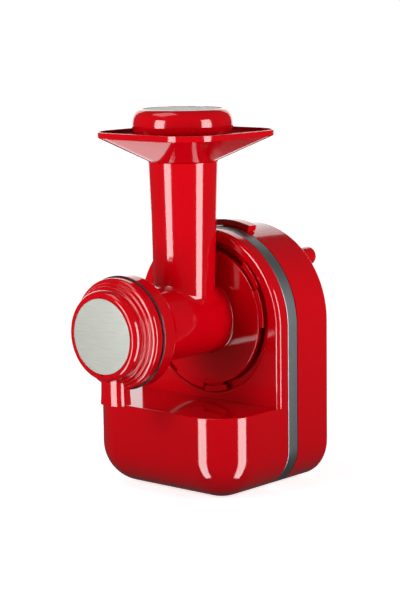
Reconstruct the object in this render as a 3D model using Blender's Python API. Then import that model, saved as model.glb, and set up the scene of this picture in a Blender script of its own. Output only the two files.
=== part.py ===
"""Countertop frozen fruit dessert maker, built as an assembly of separate pieces.

Units are metres. +Z is up, the spout end faces -Y and +X is the right side seen from the front.
The origin is on the table, under the middle of the whole machine.
Every axis that turns lies along Y, except the mains switch, which rocks about X.
"""
import math

import bmesh
import bpy
from mathutils import Vector

# --- body sizes that can be set on their own ---
BODY_WIDTH = 0.1746
BODY_HEIGHT = 0.241
FOOT_GAP = 0.0015
SHELF_HEIGHT = 0.080
SHELF_DEPTH = 0.076
FACE_LAND = 0.0128
BAND_WIDTH = 0.0146
REAR_LENGTH = 0.0461
CORNER_RADIUS = 0.040
BASE_RADIUS = 0.042
FACE_FILLET = 0.0043
BACK_FILLET = 0.0025
WALL = 0.0035
BAND_THICKNESS = 0.0015
GAP = 0.0003
POST_LENGTH = 0.020
POST_RADIUS = 0.009

# --- chute: barrel, feed tube and the bayonet flange ---
BARREL_HEIGHT = 0.158
BARREL_RADIUS = 0.0339
BARREL_BORE = 0.028
COLLAR_RADIUS = 0.051
COLLAR_BORE = 0.0465
COLLAR_LENGTH = 0.0165
NECK_LENGTH = 0.018
FLANGE_RADIUS = 0.0645
FLANGE_THICKNESS = 0.0055
FLANGE_PROUD = 0.0015
RECESS_RADIUS = 0.0725
RECESS_DEPTH = 0.009
LUG_COUNT = 3
LUG_REACH = 0.005
LUG_START = -3.5
LUG_ANGLE = 30.0
HOOK_ANGLE = 18.0
HOOK_OVERLAP = 2.0
HOOK_THICKNESS = 0.0028
TAB_ANGLE = 22.0
TAB_THICKNESS = 0.0029
CHUTE_TWIST = 25.0
TUBE_TOP = 0.307
TUBE_TOP_RADIUS = 0.0324
TUBE_TAPER = 0.0348
TUBE_WALL = 0.0027

# --- cap, spout and cutter ---
CAP_AHEAD = 0.0672
CAP_DEPTH = 0.0255
CAP_RADIUS = 0.0505
CAP_WALL = 0.0025
SEAL_WIDTH = 0.002
SEAL_RADIUS = 0.052
DISC_RADIUS = 0.0343
DISC_THICKNESS = 0.0012
SPOUT_WIDTH = 0.026
SPOUT_DEPTH = 0.017
SPOUT_SETBACK = 0.0065
SPOUT_BOTTOM = 0.094
SPOUT_CORNER = 0.005
SPOUT_WALL = 0.0022
CONE_RADIUS = 0.038
CONE_TIP_RADIUS = 0.015
CONE_LENGTH = 0.034
BLADE_COUNT = 3
BLADE_THICKNESS = 0.0012
BLADE_HEIGHT = 0.0022
AUGER_SHAFT = 0.009
AUGER_RADIUS = 0.0262
AUGER_PITCH = 0.032

# --- tray and pusher ---
TRAY_HALF = 0.0678
TRAY_CORNER = 0.034
TRAY_RIM = 0.0055
TRAY_HEIGHT = 0.0276
TRAY_WALL = 0.0022
TRAY_SETBACK = 0.0045
SPIGOT_DEPTH = 0.012
KNOB_RADIUS = 0.0468
KNOB_HEIGHT = 0.027
KNOB_TOP = 0.355
INLAY_RADIUS = 0.0363
STEM_RADIUS = 0.0245
STEM_LENGTH = 0.110

# --- drive: motor in the shelf, two stages of spur gears up to the barrel ---
GEAR_MODULE = 0.002
MOTOR_TEETH = 12
IDLER_TEETH = 36
IDLER_PINION_TEETH = 14
OUTPUT_TEETH = 54
GEAR_BACKLASH = 0.00025
MOTOR_RADIUS = 0.030
MOTOR_WALL = 0.002
MOTOR_LENGTH = 0.060
MOTOR_START = 0.021
SHAFT_RADIUS = 0.003
SPINDLE_RADIUS = 0.006
IDLER_PIN_RADIUS = 0.004
BUSH_WALL = 0.003
PLATE_THICKNESS = 0.0032

# --- stations along Y, all from the same depth chain ---
TOTAL_DEPTH = CAP_AHEAD + SHELF_DEPTH + FACE_LAND + BAND_WIDTH + REAR_LENGTH + POST_LENGTH
DISC_Y = -TOTAL_DEPTH / 2
SHELF_FRONT_Y = DISC_Y + CAP_AHEAD
FACE_Y = SHELF_FRONT_Y + SHELF_DEPTH
BAND_FRONT_Y = FACE_Y + FACE_LAND
BAND_REAR_Y = BAND_FRONT_Y + BAND_WIDTH
BAND_MIDDLE_Y = (BAND_FRONT_Y + BAND_REAR_Y) / 2
BACK_Y = BAND_REAR_Y + REAR_LENGTH
FLANGE_FRONT_Y = FACE_Y - FLANGE_PROUD
FLANGE_REAR_Y = FLANGE_FRONT_Y + FLANGE_THICKNESS
RECESS_FLOOR_Y = FACE_Y + RECESS_DEPTH
CUP_REAR_Y = RECESS_FLOOR_Y + WALL
SEAL_FRONT_Y = DISC_Y + CAP_DEPTH + GAP
SEAL_REAR_Y = SEAL_FRONT_Y + SEAL_WIDTH
COLLAR_FRONT_Y = SEAL_REAR_Y + GAP
COLLAR_REAR_Y = COLLAR_FRONT_Y + COLLAR_LENGTH
NECK_REAR_Y = COLLAR_REAR_Y + NECK_LENGTH
TUBE_AT_ARCH_RADIUS = TUBE_TOP_RADIUS - TUBE_TAPER * (TUBE_TOP - BODY_HEIGHT)
TUBE_Y = FACE_Y - TUBE_AT_ARCH_RADIUS - 2 * GAP
TRAY_Y = TUBE_Y + TRAY_SETBACK

# --- stations along Z ---
BASE_Z = FOOT_GAP
SHELF_Z = BASE_Z + SHELF_HEIGHT
ARCH_RADIUS = BODY_WIDTH / 2
ARCH_Z = BASE_Z + BODY_HEIGHT - ARCH_RADIUS
AXIS_Z = BASE_Z + BARREL_HEIGHT
TUBE_TOP_Z = BASE_Z + TUBE_TOP
RIM_Z = TUBE_TOP_Z + TRAY_HEIGHT
KNOB_Z = BASE_Z + KNOB_TOP
OUTPUT_PITCH = GEAR_MODULE * OUTPUT_TEETH / 2
IDLER_PINION_PITCH = GEAR_MODULE * IDLER_PINION_TEETH / 2
IDLER_PITCH = GEAR_MODULE * IDLER_TEETH / 2
MOTOR_PITCH = GEAR_MODULE * MOTOR_TEETH / 2
IDLER_Z = AXIS_Z - OUTPUT_PITCH - IDLER_PINION_PITCH
MOTOR_Z = IDLER_Z - IDLER_PITCH - MOTOR_PITCH

BARREL_AXIS = Vector((0.0, 0.0, AXIS_Z))

# --- faceting ---
ROUND = 32
TUBE_ROUND = 24
SMALL_ROUND = 12
CORNER_STEPS = 4
ARCH_STEPS = 20
TRAY_STEPS = 6

# --- colours, linear RGB ---
RED = (0.62, 0.0, 0.008)
GRAPHITE = (0.03, 0.03, 0.032)
STEEL = (0.52, 0.53, 0.51)
DARK_METAL = (0.19, 0.2, 0.2)
NYLON = (0.75, 0.73, 0.68)
BRASS = (0.6, 0.42, 0.14)
COPPER = (0.55, 0.22, 0.1)
RUBBER = (0.02, 0.02, 0.02)


# ---------------------------------------------------------------- scene helpers

def clear_scene():
    """Removes every object that the file opened with."""
    for thing in list(bpy.data.objects):
        bpy.data.objects.remove(thing, do_unlink=True)


def make_material(name, colour, roughness, metallic):
    """A Principled material with one colour."""
    material = bpy.data.materials.new(name)
    material.use_nodes = True
    shader = material.node_tree.nodes["Principled BSDF"]
    shader.inputs["Base Color"].default_value = (*colour, 1.0)
    shader.inputs["Roughness"].default_value = roughness
    shader.inputs["Metallic"].default_value = metallic
    material.diffuse_color = (*colour, 1.0)
    return material


def joint_frame(name, place, parent=None):
    """An empty on a joint's axis, which the moving pieces hang from."""
    frame = bpy.data.objects.new(name, None)
    frame.location = Vector(place) - (Vector(parent["place"]) if parent else Vector())
    frame.parent = parent
    frame["place"] = tuple(place)
    bpy.context.scene.collection.objects.link(frame)
    return frame


def add_piece(name, shape, look, parent=None):
    """Makes an object from a bmesh in world coordinates, with its origin on its parent's axis."""
    origin = Vector(parent["place"]) if parent else Vector()
    bmesh.ops.translate(shape, verts=shape.verts, vec=-origin)
    mesh = bpy.data.meshes.new(name)
    shape.to_mesh(mesh)
    shape.free()
    mesh.materials.append(make_material(name, *look))
    mesh.shade_smooth()
    mesh.set_sharp_from_angle(angle=math.radians(35))
    piece = bpy.data.objects.new(name, mesh)
    piece.parent = parent
    bpy.context.scene.collection.objects.link(piece)
    return piece


def add_cutter(name, shape):
    """A helper solid that shapes other pieces and is left out of the render."""
    mesh = bpy.data.meshes.new(name)
    shape.to_mesh(mesh)
    shape.free()
    helper = bpy.data.objects.new(name, mesh)
    helper.hide_render = True
    helper.display_type = "WIRE"
    bpy.context.scene.collection.objects.link(helper)
    return helper


def combine(piece, operation, shapes):
    """Adds one exact Boolean for each helper shape, which is in world coordinates."""
    for number, shape in enumerate(shapes):
        label = f"{piece.name}_{operation.lower()}_{len(piece.modifiers)}_{number}"
        modifier = piece.modifiers.new(label, "BOOLEAN")
        modifier.object = add_cutter(label, shape)
        modifier.operation = operation
        modifier.solver = "EXACT"


def cut(piece, *shapes):
    combine(piece, "DIFFERENCE", shapes)


def join(piece, *shapes):
    combine(piece, "UNION", shapes)


# ---------------------------------------------------------------- solid builders

def finish(shape):
    """Turns all the faces outward."""
    bmesh.ops.recalc_face_normals(shape, faces=shape.faces)
    return shape


def arc(centre_u, centre_v, radius, start, end, steps):
    """Points on an arc, both ends included, angles in degrees."""
    points = []
    for step in range(steps + 1):
        angle = math.radians(start + (end - start) * step / steps)
        points.append((centre_u + radius * math.cos(angle), centre_v + radius * math.sin(angle)))
    return points


def add_ring(shape, points):
    return [shape.verts.new(point) for point in points]


def bridge(shape, first, second, wrap=True):
    """Quads between two rings that hold the same number of points."""
    count = len(first)
    for index in range(count if wrap else count - 1):
        following = (index + 1) % count
        shape.faces.new((first[index], first[following], second[following], second[index]))


def loft(rings, closed=False):
    """A solid through rings of points. An open loft gets flat ends, a closed one joins up."""
    shape = bmesh.new()
    made = [add_ring(shape, ring) for ring in rings]
    for first, second in zip(made, made[1:]):
        bridge(shape, first, second)
    if closed:
        bridge(shape, made[-1], made[0])
    else:
        shape.faces.new(made[0])
        shape.faces.new(made[-1])
    return finish(shape)


def prism(outline, start, end, axis="Y"):
    """An outline pushed along an axis: (x, z) points along Y, or (x, y) points along Z."""
    if axis == "Y":
        rings = [[(u, station, v) for u, v in outline] for station in (start, end)]
    else:
        rings = [[(u, v, station) for u, v in outline] for station in (start, end)]
    return loft(rings)


def box(low, high):
    outline = [(low[0], low[1]), (high[0], low[1]), (high[0], high[1]), (low[0], high[1])]
    return prism(outline, low[2], high[2], "Z")


def lathe(profile, centre, axis="Y", segments=ROUND):
    """A turned solid. The profile holds (radius, station) points; one that ends on the axis has poles there.

    The centre is (x, z) for an axis along Y, and (x, y) for an axis along Z.
    """
    shape = bmesh.new()
    rings = []
    for radius, station in profile:
        if radius == 0.0:
            spot = (centre[0], station, centre[1]) if axis == "Y" else (centre[0], centre[1], station)
            rings.append([shape.verts.new(spot)])
            continue
        circle = arc(centre[0], centre[1], radius, 0, 360, segments)[:-1]
        if axis == "Y":
            rings.append(add_ring(shape, [(u, station, v) for u, v in circle]))
        else:
            rings.append(add_ring(shape, [(u, v, station) for u, v in circle]))
    pairs = list(zip(rings, rings[1:]))
    if profile[0][0] > 0.0:
        pairs.append((rings[-1], rings[0]))
    for first, second in pairs:
        if len(first) == 1 or len(second) == 1:
            pole, ring = (first[0], second) if len(first) == 1 else (second[0], first)
            for index in range(segments):
                shape.faces.new((ring[index], ring[(index + 1) % segments], pole))
        else:
            bridge(shape, first, second)
    return finish(shape)


def rod(radius, start, end, centre, axis="Y", segments=SMALL_ROUND):
    return lathe([(0.0, start), (radius, start), (radius, end), (0.0, end)], centre, axis, segments)


def tube(outer, inner, start, end, centre, axis="Y", segments=SMALL_ROUND):
    profile = [(inner, start), (outer, start), (outer, end), (inner, end)]
    return lathe(profile, centre, axis, segments)


def sector(inner, outer, start_angle, end_angle, start, end, centre, steps=6):
    """Part of a ring about an axis along Y."""
    outline = arc(centre[0], centre[1], outer, start_angle, end_angle, steps)
    outline += arc(centre[0], centre[1], inner, end_angle, start_angle, steps)
    return prism(outline, start, end)


def swept(section, start_angle, end_angle, centre, steps=4):
    """A (radius, y) section carried round part of a circle about an axis along Y."""
    rings = []
    for step in range(steps + 1):
        angle = math.radians(start_angle + (end_angle - start_angle) * step / steps)
        ring = [(centre[0] + radius * math.cos(angle), station, centre[1] + radius * math.sin(angle))
                for radius, station in section]
        rings.append(ring)
    return loft(rings)


def rounded_rectangle(half_x, half_y, radius, steps, centre=(0.0, 0.0)):
    points = []
    corners = ((1, 1, 0), (-1, 1, 90), (-1, -1, 180), (1, -1, 270))
    for sign_x, sign_y, start in corners:
        middle_x = centre[0] + sign_x * (half_x - radius)
        middle_y = centre[1] + sign_y * (half_y - radius)
        points += arc(middle_x, middle_y, radius, start, start + 90, steps)
    return points


# ---------------------------------------------------------------- casing forms

def lower_outline(side_inset, top_inset):
    """The U of the base in XZ, from the shelf's left top down, along the bottom and up to the right."""
    half = BODY_WIDTH / 2 - BASE_RADIUS
    radius = BASE_RADIUS - side_inset
    middle = BASE_Z + BASE_RADIUS
    top = SHELF_Z - top_inset
    side = BODY_WIDTH / 2 - side_inset
    left = arc(-half, middle, radius, 180, 270, CORNER_STEPS)
    right = arc(half, middle, radius, 270, 360, CORNER_STEPS)
    return [(-side, top)] + left + right + [(side, top)]


def upper_outline(inset):
    """The arch in XZ, from its right shoulder over the top to its left shoulder."""
    return arc(0.0, ARCH_Z, ARCH_RADIUS - inset, 0, 180, ARCH_STEPS)


def full_outline(inset):
    return lower_outline(inset, 0.0) + upper_outline(inset)


def at_station(outline, station):
    return [(u, station, v) for u, v in outline]


def front_form(inset, rear_stations):
    """The shelf with its ball corners and the front of the arch, shrunk by inset, as one closed solid.

    Each rear station is (y, inset) and goes on from the arch towards the back.
    """
    shape = bmesh.new()
    face = FACE_Y + inset
    fillet = max(FACE_FILLET - inset, 0.0005)
    reach = CORNER_RADIUS - inset
    lower = []
    for step in range(CORNER_STEPS + 1):
        angle = math.radians(90 * step / CORNER_STEPS)
        station = SHELF_FRONT_Y + inset + reach * (1 - math.cos(angle))
        outline = lower_outline(CORNER_RADIUS - reach * math.sin(angle), inset)
        lower.append(add_ring(shape, at_station(outline, station)))
    lower.append(add_ring(shape, at_station(lower_outline(inset, inset), face)))
    shape.faces.new(lower[0])
    for first, second in zip(lower, lower[1:]):
        bridge(shape, first, second, wrap=False)
    for first, second in zip(lower[:-1], lower[1:-1]):
        shape.faces.new((first[-1], first[0], second[0], second[-1]))
    side = BODY_WIDTH / 2 - inset - fillet
    top = SHELF_Z - inset
    face_outline = [(side, top)] + upper_outline(inset + fillet) + [(-side, top)]
    face_ring = add_ring(shape, at_station(face_outline, face))
    shape.faces.new(face_ring)
    right_end, left_end = face_ring[0], face_ring[-1]
    before, at_face = lower[-2], lower[-1]
    shape.faces.new((before[-1], before[0], at_face[0], left_end, right_end, at_face[-1]))
    lower_count = len(at_face)
    whole = lower_outline(inset, inset) + upper_outline(inset)
    ring = add_ring(shape, at_station(whole, face + fillet))
    bridge(shape, at_face, ring[:lower_count], wrap=False)
    shape.faces.new((at_face[-1], right_end, ring[lower_count - 1]))
    shape.faces.new((at_face[0], left_end, ring[0]))
    bridge(shape, face_ring, ring[lower_count - 1:] + [ring[0]], wrap=False)
    for station, station_inset in rear_stations:
        outline = lower_outline(station_inset, inset) + upper_outline(station_inset)
        following = add_ring(shape, at_station(outline, station))
        bridge(shape, ring, following)
        ring = following
    shape.faces.new(ring)
    return finish(shape)


def arch_form(stations):
    """The body's whole outline through (y, inset) stations, with flat ends."""
    return loft([at_station(full_outline(inset), station) for station, inset in stations])


# ---------------------------------------------------------------- casing

LIP_INSET = BAND_THICKNESS + GAP
LIP_END_Y = BAND_MIDDLE_Y - GAP / 2
CAVITY_END_Y = BAND_REAR_Y + WALL
PIN_ANGLE = 90.0
PIN_ORBIT = 0.060
PIN_RADIUS = 0.002
PIN_Z = AXIS_Z + PIN_ORBIT
HATCH_HALF = 0.044
HATCH_FRONT_Y = SHELF_FRONT_Y + 0.0435
HATCH_REAR_Y = BAND_FRONT_Y - 0.003
HATCH_LEDGE = 0.003
HATCH_THICKNESS = 0.002
AXIS_CENTRE = (0.0, AXIS_Z)


def front_casing():
    """The red shelf and arch front, hollow from behind, with the round recess for the chute."""
    outer = front_form(0.0, [(BAND_FRONT_Y, 0.0), (BAND_FRONT_Y, LIP_INSET), (LIP_END_Y, LIP_INSET)])
    piece = add_piece("front_casing", outer, (RED, 0.12, 0.0))
    cavity = front_form(WALL, [(CAVITY_END_Y, WALL)])
    cut(piece, cavity)
    cup = rod(RECESS_RADIUS + BUSH_WALL, FACE_Y + WALL / 2, CUP_REAR_Y, AXIS_CENTRE, segments=ROUND)
    join(piece, cup)
    recess = rod(RECESS_RADIUS, FACE_Y - WALL, RECESS_FLOOR_Y, AXIS_CENTRE, segments=ROUND)
    spindle_hole = rod(SPINDLE_RADIUS + BUSH_WALL + 2 * GAP, FACE_Y, CUP_REAR_Y + WALL, AXIS_CENTRE)
    pin_hole = rod(PIN_RADIUS + 2 * GAP, FACE_Y, CUP_REAR_Y + WALL, (0.0, PIN_Z), segments=10)
    ledge_low = (-HATCH_HALF - GAP, HATCH_FRONT_Y - GAP, BASE_Z - WALL)
    ledge_high = (HATCH_HALF + GAP, HATCH_REAR_Y + GAP, BASE_Z + HATCH_THICKNESS + GAP)
    hatch_low = (HATCH_LEDGE - HATCH_HALF, HATCH_FRONT_Y + HATCH_LEDGE, BASE_Z)
    hatch_high = (HATCH_HALF - HATCH_LEDGE, HATCH_REAR_Y - HATCH_LEDGE, BASE_Z + 2 * WALL)
    cut(piece, recess, spindle_hole, pin_hole, box(ledge_low, ledge_high), box(hatch_low, hatch_high))


LATCH_START_Y = BAND_REAR_Y + 0.0008
LATCH_LENGTH = 0.012
LATCH_HEIGHT = 0.006
LATCH_HALF_ANGLE = 17.4
LATCH_TRAVEL = 0.005
STEM_HALF = 0.004
STEM_START_Y = LATCH_START_Y + 0.0018
STEM_END_Y = STEM_START_Y + 0.004
SPRING_END_Y = STEM_END_Y + 0.0125
SPRING_STOP_THICKNESS = 0.0025
POST_SPREAD = 0.0508
POST_HEIGHTS = (0.045, 0.2097)
LOW_SCREW_Z = BASE_Z + 0.027
TOP_SCREW_Z = BASE_Z + 0.219
SCREW_PLACES = ((-0.052, LOW_SCREW_Z), (0.052, LOW_SCREW_Z), (-0.018, TOP_SCREW_Z), (0.018, TOP_SCREW_Z))
SCREW_RADIUS = 0.002
SCREW_HEAD = 0.0038
SWITCH_HALF_X = 0.0125
SWITCH_HALF_Z = 0.0085
SWITCH_Z = BASE_Z + 0.049
SWITCH_RIM = 0.002
CORD_INLET_Z = BASE_Z + 0.021
CORD_INLET_RADIUS = 0.006
CORD_INLET_FLANGE = 0.008
CORD_INLET_NOSE = 0.0042
CORD_INLET_BORE = 0.003
CORD_INLET_BURIED = 0.008
CORD_INLET_PROUD = 0.009
VENT_COUNT = 7
VENT_HALF = 0.026
VENT_HEIGHT = 0.004
VENT_PITCH = 0.011
VENT_START_Z = BASE_Z + 0.091


def rear_casing():
    """The red back shell, with the latch slot, vents, switch opening, inlet and fastener holes."""
    front_lip = BAND_MIDDLE_Y + GAP / 2
    outer = arch_form([
        (front_lip, LIP_INSET),
        (BAND_REAR_Y, LIP_INSET),
        (BAND_REAR_Y, 0.0),
        (BACK_Y - BACK_FILLET, 0.0),
        (BACK_Y - BACK_FILLET * 0.3, BACK_FILLET * 0.3),
        (BACK_Y, BACK_FILLET),
    ])
    piece = add_piece("rear_casing", outer, (RED, 0.12, 0.0))
    cut(piece, arch_form([(front_lip - WALL, WALL), (BACK_Y - WALL, WALL)]))
    stop_low = (-STEM_HALF * 1.5, SPRING_END_Y + GAP, PIN_Z - PIN_RADIUS)
    stop_end = SPRING_END_Y + GAP + SPRING_STOP_THICKNESS
    stop_high = (STEM_HALF * 1.5, stop_end, BASE_Z + BODY_HEIGHT - WALL / 2)
    join(piece, box(stop_low, stop_high))
    slot_low = (-STEM_HALF - GAP, STEM_START_Y - GAP, BASE_Z + BODY_HEIGHT - 3 * WALL)
    slot_high = (STEM_HALF + GAP, STEM_END_Y + LATCH_TRAVEL + GAP, BASE_Z + BODY_HEIGHT + WALL)
    tools = [box(slot_low, slot_high)]
    back_in, back_out = BACK_Y - 2 * WALL, BACK_Y + WALL
    for number in range(VENT_COUNT):
        low = VENT_START_Z + number * VENT_PITCH
        tools.append(box((-VENT_HALF, back_in, low), (VENT_HALF, back_out, low + VENT_HEIGHT)))
    switch_x, switch_z = SWITCH_HALF_X + GAP, SWITCH_HALF_Z + GAP
    tools.append(box((-switch_x, back_in, SWITCH_Z - switch_z), (switch_x, back_out, SWITCH_Z + switch_z)))
    tools.append(rod(CORD_INLET_RADIUS + GAP, back_in, back_out, (0.0, CORD_INLET_Z)))
    for place in SCREW_PLACES:
        tools.append(rod(SCREW_RADIUS + GAP, back_in, back_out, place, segments=8))
        tools.append(rod(SCREW_HEAD + GAP, BACK_Y - WALL / 2, back_out, place))
    cut(piece, *tools)


def trim_band():
    """The metal band that covers the joint between the two shells."""
    start, end = BAND_FRONT_Y + GAP, BAND_REAR_Y - GAP
    stations = [(start, 0.0), (end, 0.0), (end, BAND_THICKNESS), (start, BAND_THICKNESS)]
    rings = [at_station(full_outline(inset), station) for station, inset in stations]
    add_piece("trim_band", loft(rings, closed=True), (DARK_METAL, 0.25, 1.0))


FOOT_RADIUS = 0.008
FOOT_X = 0.034
FOOT_STATIONS = (SHELF_FRONT_Y + 0.0525, BACK_Y - 0.020)


def feet():
    """Four soft feet: the front pair on the hatch, the rear pair on the back shell."""
    number = 0
    for station in FOOT_STATIONS:
        for side in (-FOOT_X, FOOT_X):
            number += 1
            top = BASE_Z - GAP
            profile = [
                (0.0, 0.0),
                (FOOT_RADIUS * 0.9, 0.0),
                (FOOT_RADIUS, FOOT_GAP * 0.4),
                (FOOT_RADIUS, top),
                (0.0, top),
            ]
            foot = lathe(profile, (side, station), "Z", SMALL_ROUND)
            add_piece(f"rubber_foot_{number}", foot, (RUBBER, 0.8, 0.0))


def base_cover():
    """The hatch under the motor, with cooling slots."""
    low = (-HATCH_HALF, HATCH_FRONT_Y, BASE_Z)
    high = (HATCH_HALF, HATCH_REAR_Y, BASE_Z + HATCH_THICKNESS)
    piece = add_piece("base_cover", box(low, high), (GRAPHITE, 0.5, 0.0))
    slots = []
    for number in range(4):
        middle = CRADLE_END_Y + 0.004 + number * 0.0045
        slots.append(box((-0.025, middle, 0.0), (0.025, middle + 0.002, BASE_Z + WALL)))
    cut(piece, *slots)


RING_INNER = FLANGE_RADIUS + 0.002
RING_OUTER = RECESS_RADIUS - GAP
RING_BASE_Y = RECESS_FLOOR_Y - GAP
HOOK_REAR_Y = FLANGE_REAR_Y + 0.002
HOOK_FRONT_Y = HOOK_REAR_Y - HOOK_THICKNESS
TAB_REAR_Y = HOOK_FRONT_Y - 2 * GAP
TAB_FRONT_Y = TAB_REAR_Y - TAB_THICKNESS
TAB_START = LUG_START + LUG_ANGLE + 1.0
LUG_RADIUS = FLANGE_RADIUS + LUG_REACH
LUG_STEP = 360.0 / LUG_COUNT


def bayonet_ring():
    """The ring in the recess whose tabs hold the chute's hooks."""
    base_front = HOOK_REAR_Y + GAP
    ring = tube(RING_OUTER, RING_INNER, base_front, RING_BASE_Y, AXIS_CENTRE, segments=ROUND)
    piece = add_piece("bayonet_ring", ring, (RED, 0.2, 0.0))
    post_inner = LUG_RADIUS + 2 * GAP
    outer = RING_OUTER - GAP
    middle_y = (base_front + RING_BASE_Y) / 2
    hook_section = [
        (RING_INNER, TAB_FRONT_Y),
        (outer, TAB_FRONT_Y),
        (outer, middle_y),
        (post_inner, middle_y),
        (post_inner, TAB_REAR_Y),
        (RING_INNER, TAB_REAR_Y),
    ]
    for number in range(LUG_COUNT):
        start = TAB_START + number * LUG_STEP
        join(piece, swept(hook_section, start, start + TAB_ANGLE, AXIS_CENTRE))


def cord_posts():
    """Four round-ended pegs on the back, for winding the lead on."""
    number = 0
    for height in POST_HEIGHTS:
        for side in (-POST_SPREAD, POST_SPREAD):
            number += 1
            start, end = BACK_Y + GAP, BACK_Y + POST_LENGTH
            curve = POST_RADIUS * 0.45
            profile = [(0.0, start), (POST_RADIUS, start), (POST_RADIUS, end - curve)]
            for step in range(1, 3):
                angle = math.radians(45 * step)
                radius = POST_RADIUS - curve * (1 - math.cos(angle))
                profile.append((radius, end - curve + curve * math.sin(angle)))
            profile.append((0.0, end))
            peg = lathe(profile, (side, BASE_Z + height), "Y", SMALL_ROUND)
            add_piece(f"cord_post_{number}", peg, (RED, 0.15, 0.0))


def casing_screws():
    """Pan-head screws that pull the back shell onto the front one."""
    for number, place in enumerate(SCREW_PLACES, start=1):
        shoulder = BACK_Y - WALL / 2 + GAP
        tip = BACK_Y - 0.020
        profile = [
            (0.0, tip),
            (SCREW_RADIUS, tip),
            (SCREW_RADIUS, shoulder),
            (SCREW_HEAD, shoulder),
            (SCREW_HEAD * 0.7, BACK_Y),
            (0.0, BACK_Y),
        ]
        screw = lathe(profile, place, "Y", 8)
        add_piece(f"casing_screw_{number}", screw, (STEEL, 0.3, 1.0))


# ---------------------------------------------------------------- mains switch and inlet

SWITCH_TRAVEL = 14.0
ROCKER_HALF_X = SWITCH_HALF_X - SWITCH_RIM
ROCKER_HALF_Z = SWITCH_HALF_Z - SWITCH_RIM
SWITCH_DEPTH = 0.011
SWITCH_PROUD = 0.0015
ROCKER_PIVOT_DEPTH = 0.004
ROCKER_END_CLEAR = 0.0006
ROCKER_END_OUT = 0.0036
ROCKER_CREST_OUT = 0.0044


def switch_bezel():
    """The frame of the mains switch, open at the front for the rocker."""
    start, end = BACK_Y - SWITCH_DEPTH, BACK_Y + SWITCH_PROUD
    body_low = (-SWITCH_HALF_X, start, SWITCH_Z - SWITCH_HALF_Z)
    body_high = (SWITCH_HALF_X, end, SWITCH_Z + SWITCH_HALF_Z)
    piece = add_piece("switch_bezel", box(body_low, body_high), (GRAPHITE, 0.35, 0.0))
    low = (-ROCKER_HALF_X - GAP, start + SWITCH_RIM, SWITCH_Z - ROCKER_HALF_Z - GAP)
    high = (ROCKER_HALF_X + GAP, end + WALL, SWITCH_Z + ROCKER_HALF_Z + GAP)
    cut(piece, box(low, high))


def power_rocker():
    """The rocker, with its top edge pressed in at rest."""
    pivot_y = BACK_Y - ROCKER_PIVOT_DEPTH
    pivot = (0.0, pivot_y, SWITCH_Z)
    frame = joint_frame("rocker_axis", pivot)
    half = ROCKER_HALF_Z - ROCKER_END_CLEAR
    crest = [(half, ROCKER_END_OUT), (0.0, ROCKER_CREST_OUT), (-half, ROCKER_END_OUT)]
    outline = [(-half, 0.0), (half, 0.0), *crest]
    lean = math.radians(SWITCH_TRAVEL / 2)
    rings = []
    for side in (-ROCKER_HALF_X, ROCKER_HALF_X):
        ring = []
        for up, out in outline:
            turned_up = up * math.cos(lean) + out * math.sin(lean)
            turned_out = out * math.cos(lean) - up * math.sin(lean)
            ring.append((side, pivot_y + turned_out, SWITCH_Z + turned_up))
        rings.append(ring)
    add_piece("power_rocker", loft(rings), (GRAPHITE, 0.3, 0.0), frame)


def cord_inlet():
    """The bush where a mains lead would come in."""
    start, end = BACK_Y - CORD_INLET_BURIED, BACK_Y + CORD_INLET_PROUD
    profile = [
        (CORD_INLET_BORE, start),
        (CORD_INLET_RADIUS, start),
        (CORD_INLET_RADIUS, BACK_Y + GAP),
        (CORD_INLET_FLANGE, BACK_Y + GAP),
        (CORD_INLET_FLANGE, BACK_Y + WALL / 2),
        (CORD_INLET_NOSE, end),
        (CORD_INLET_BORE, end),
    ]
    bush = lathe(profile, (0.0, CORD_INLET_Z), "Y", SMALL_ROUND)
    add_piece("cord_inlet", bush, (GRAPHITE, 0.6, 0.0))


# ---------------------------------------------------------------- release latch

def release_slider():
    """The curved tab on top of the arch, with the pin that enters the flange's groove."""
    place = (0.0, LATCH_START_Y, BASE_Z + BODY_HEIGHT)
    frame = joint_frame("release_axis", place)
    inner = ARCH_RADIUS + GAP
    tab = sector(
        inner, inner + LATCH_HEIGHT, 90 - LATCH_HALF_ANGLE, 90 + LATCH_HALF_ANGLE,
        LATCH_START_Y, LATCH_START_Y + LATCH_LENGTH, (0.0, ARCH_Z), steps=10,
    )
    piece = add_piece("release_slider", tab, (RED, 0.15, 0.0), frame)
    stem_low = (-STEM_HALF, STEM_START_Y, PIN_Z - PIN_RADIUS - GAP)
    stem_high = (STEM_HALF, STEM_END_Y, BASE_Z + BODY_HEIGHT + LATCH_HEIGHT / 2)
    pin_tip = FLANGE_REAR_Y - 0.0025
    join(piece, box(stem_low, stem_high), rod(PIN_RADIUS, pin_tip, STEM_START_Y + GAP * 5, (0.0, PIN_Z)))


def latch_spring():
    """The spring that holds the latch pin forward, as a wound coil."""
    turns, wire, coil = 4, 0.0005, 0.0024
    start, end = STEM_END_Y + GAP + wire, SPRING_END_Y - wire
    steps = turns * 8
    rings = []
    for step in range(steps + 1):
        angle = 2 * math.pi * turns * step / steps
        station = start + (end - start) * step / steps
        ring = []
        for around, along in arc(0.0, 0.0, wire, 0, 360, 5)[:-1]:
            radius = coil + around
            ring.append((radius * math.cos(angle), station + along, PIN_Z + radius * math.sin(angle)))
        rings.append(ring)
    add_piece("latch_spring", loft(rings), (STEEL, 0.3, 1.0))


# ---------------------------------------------------------------- motor

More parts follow.
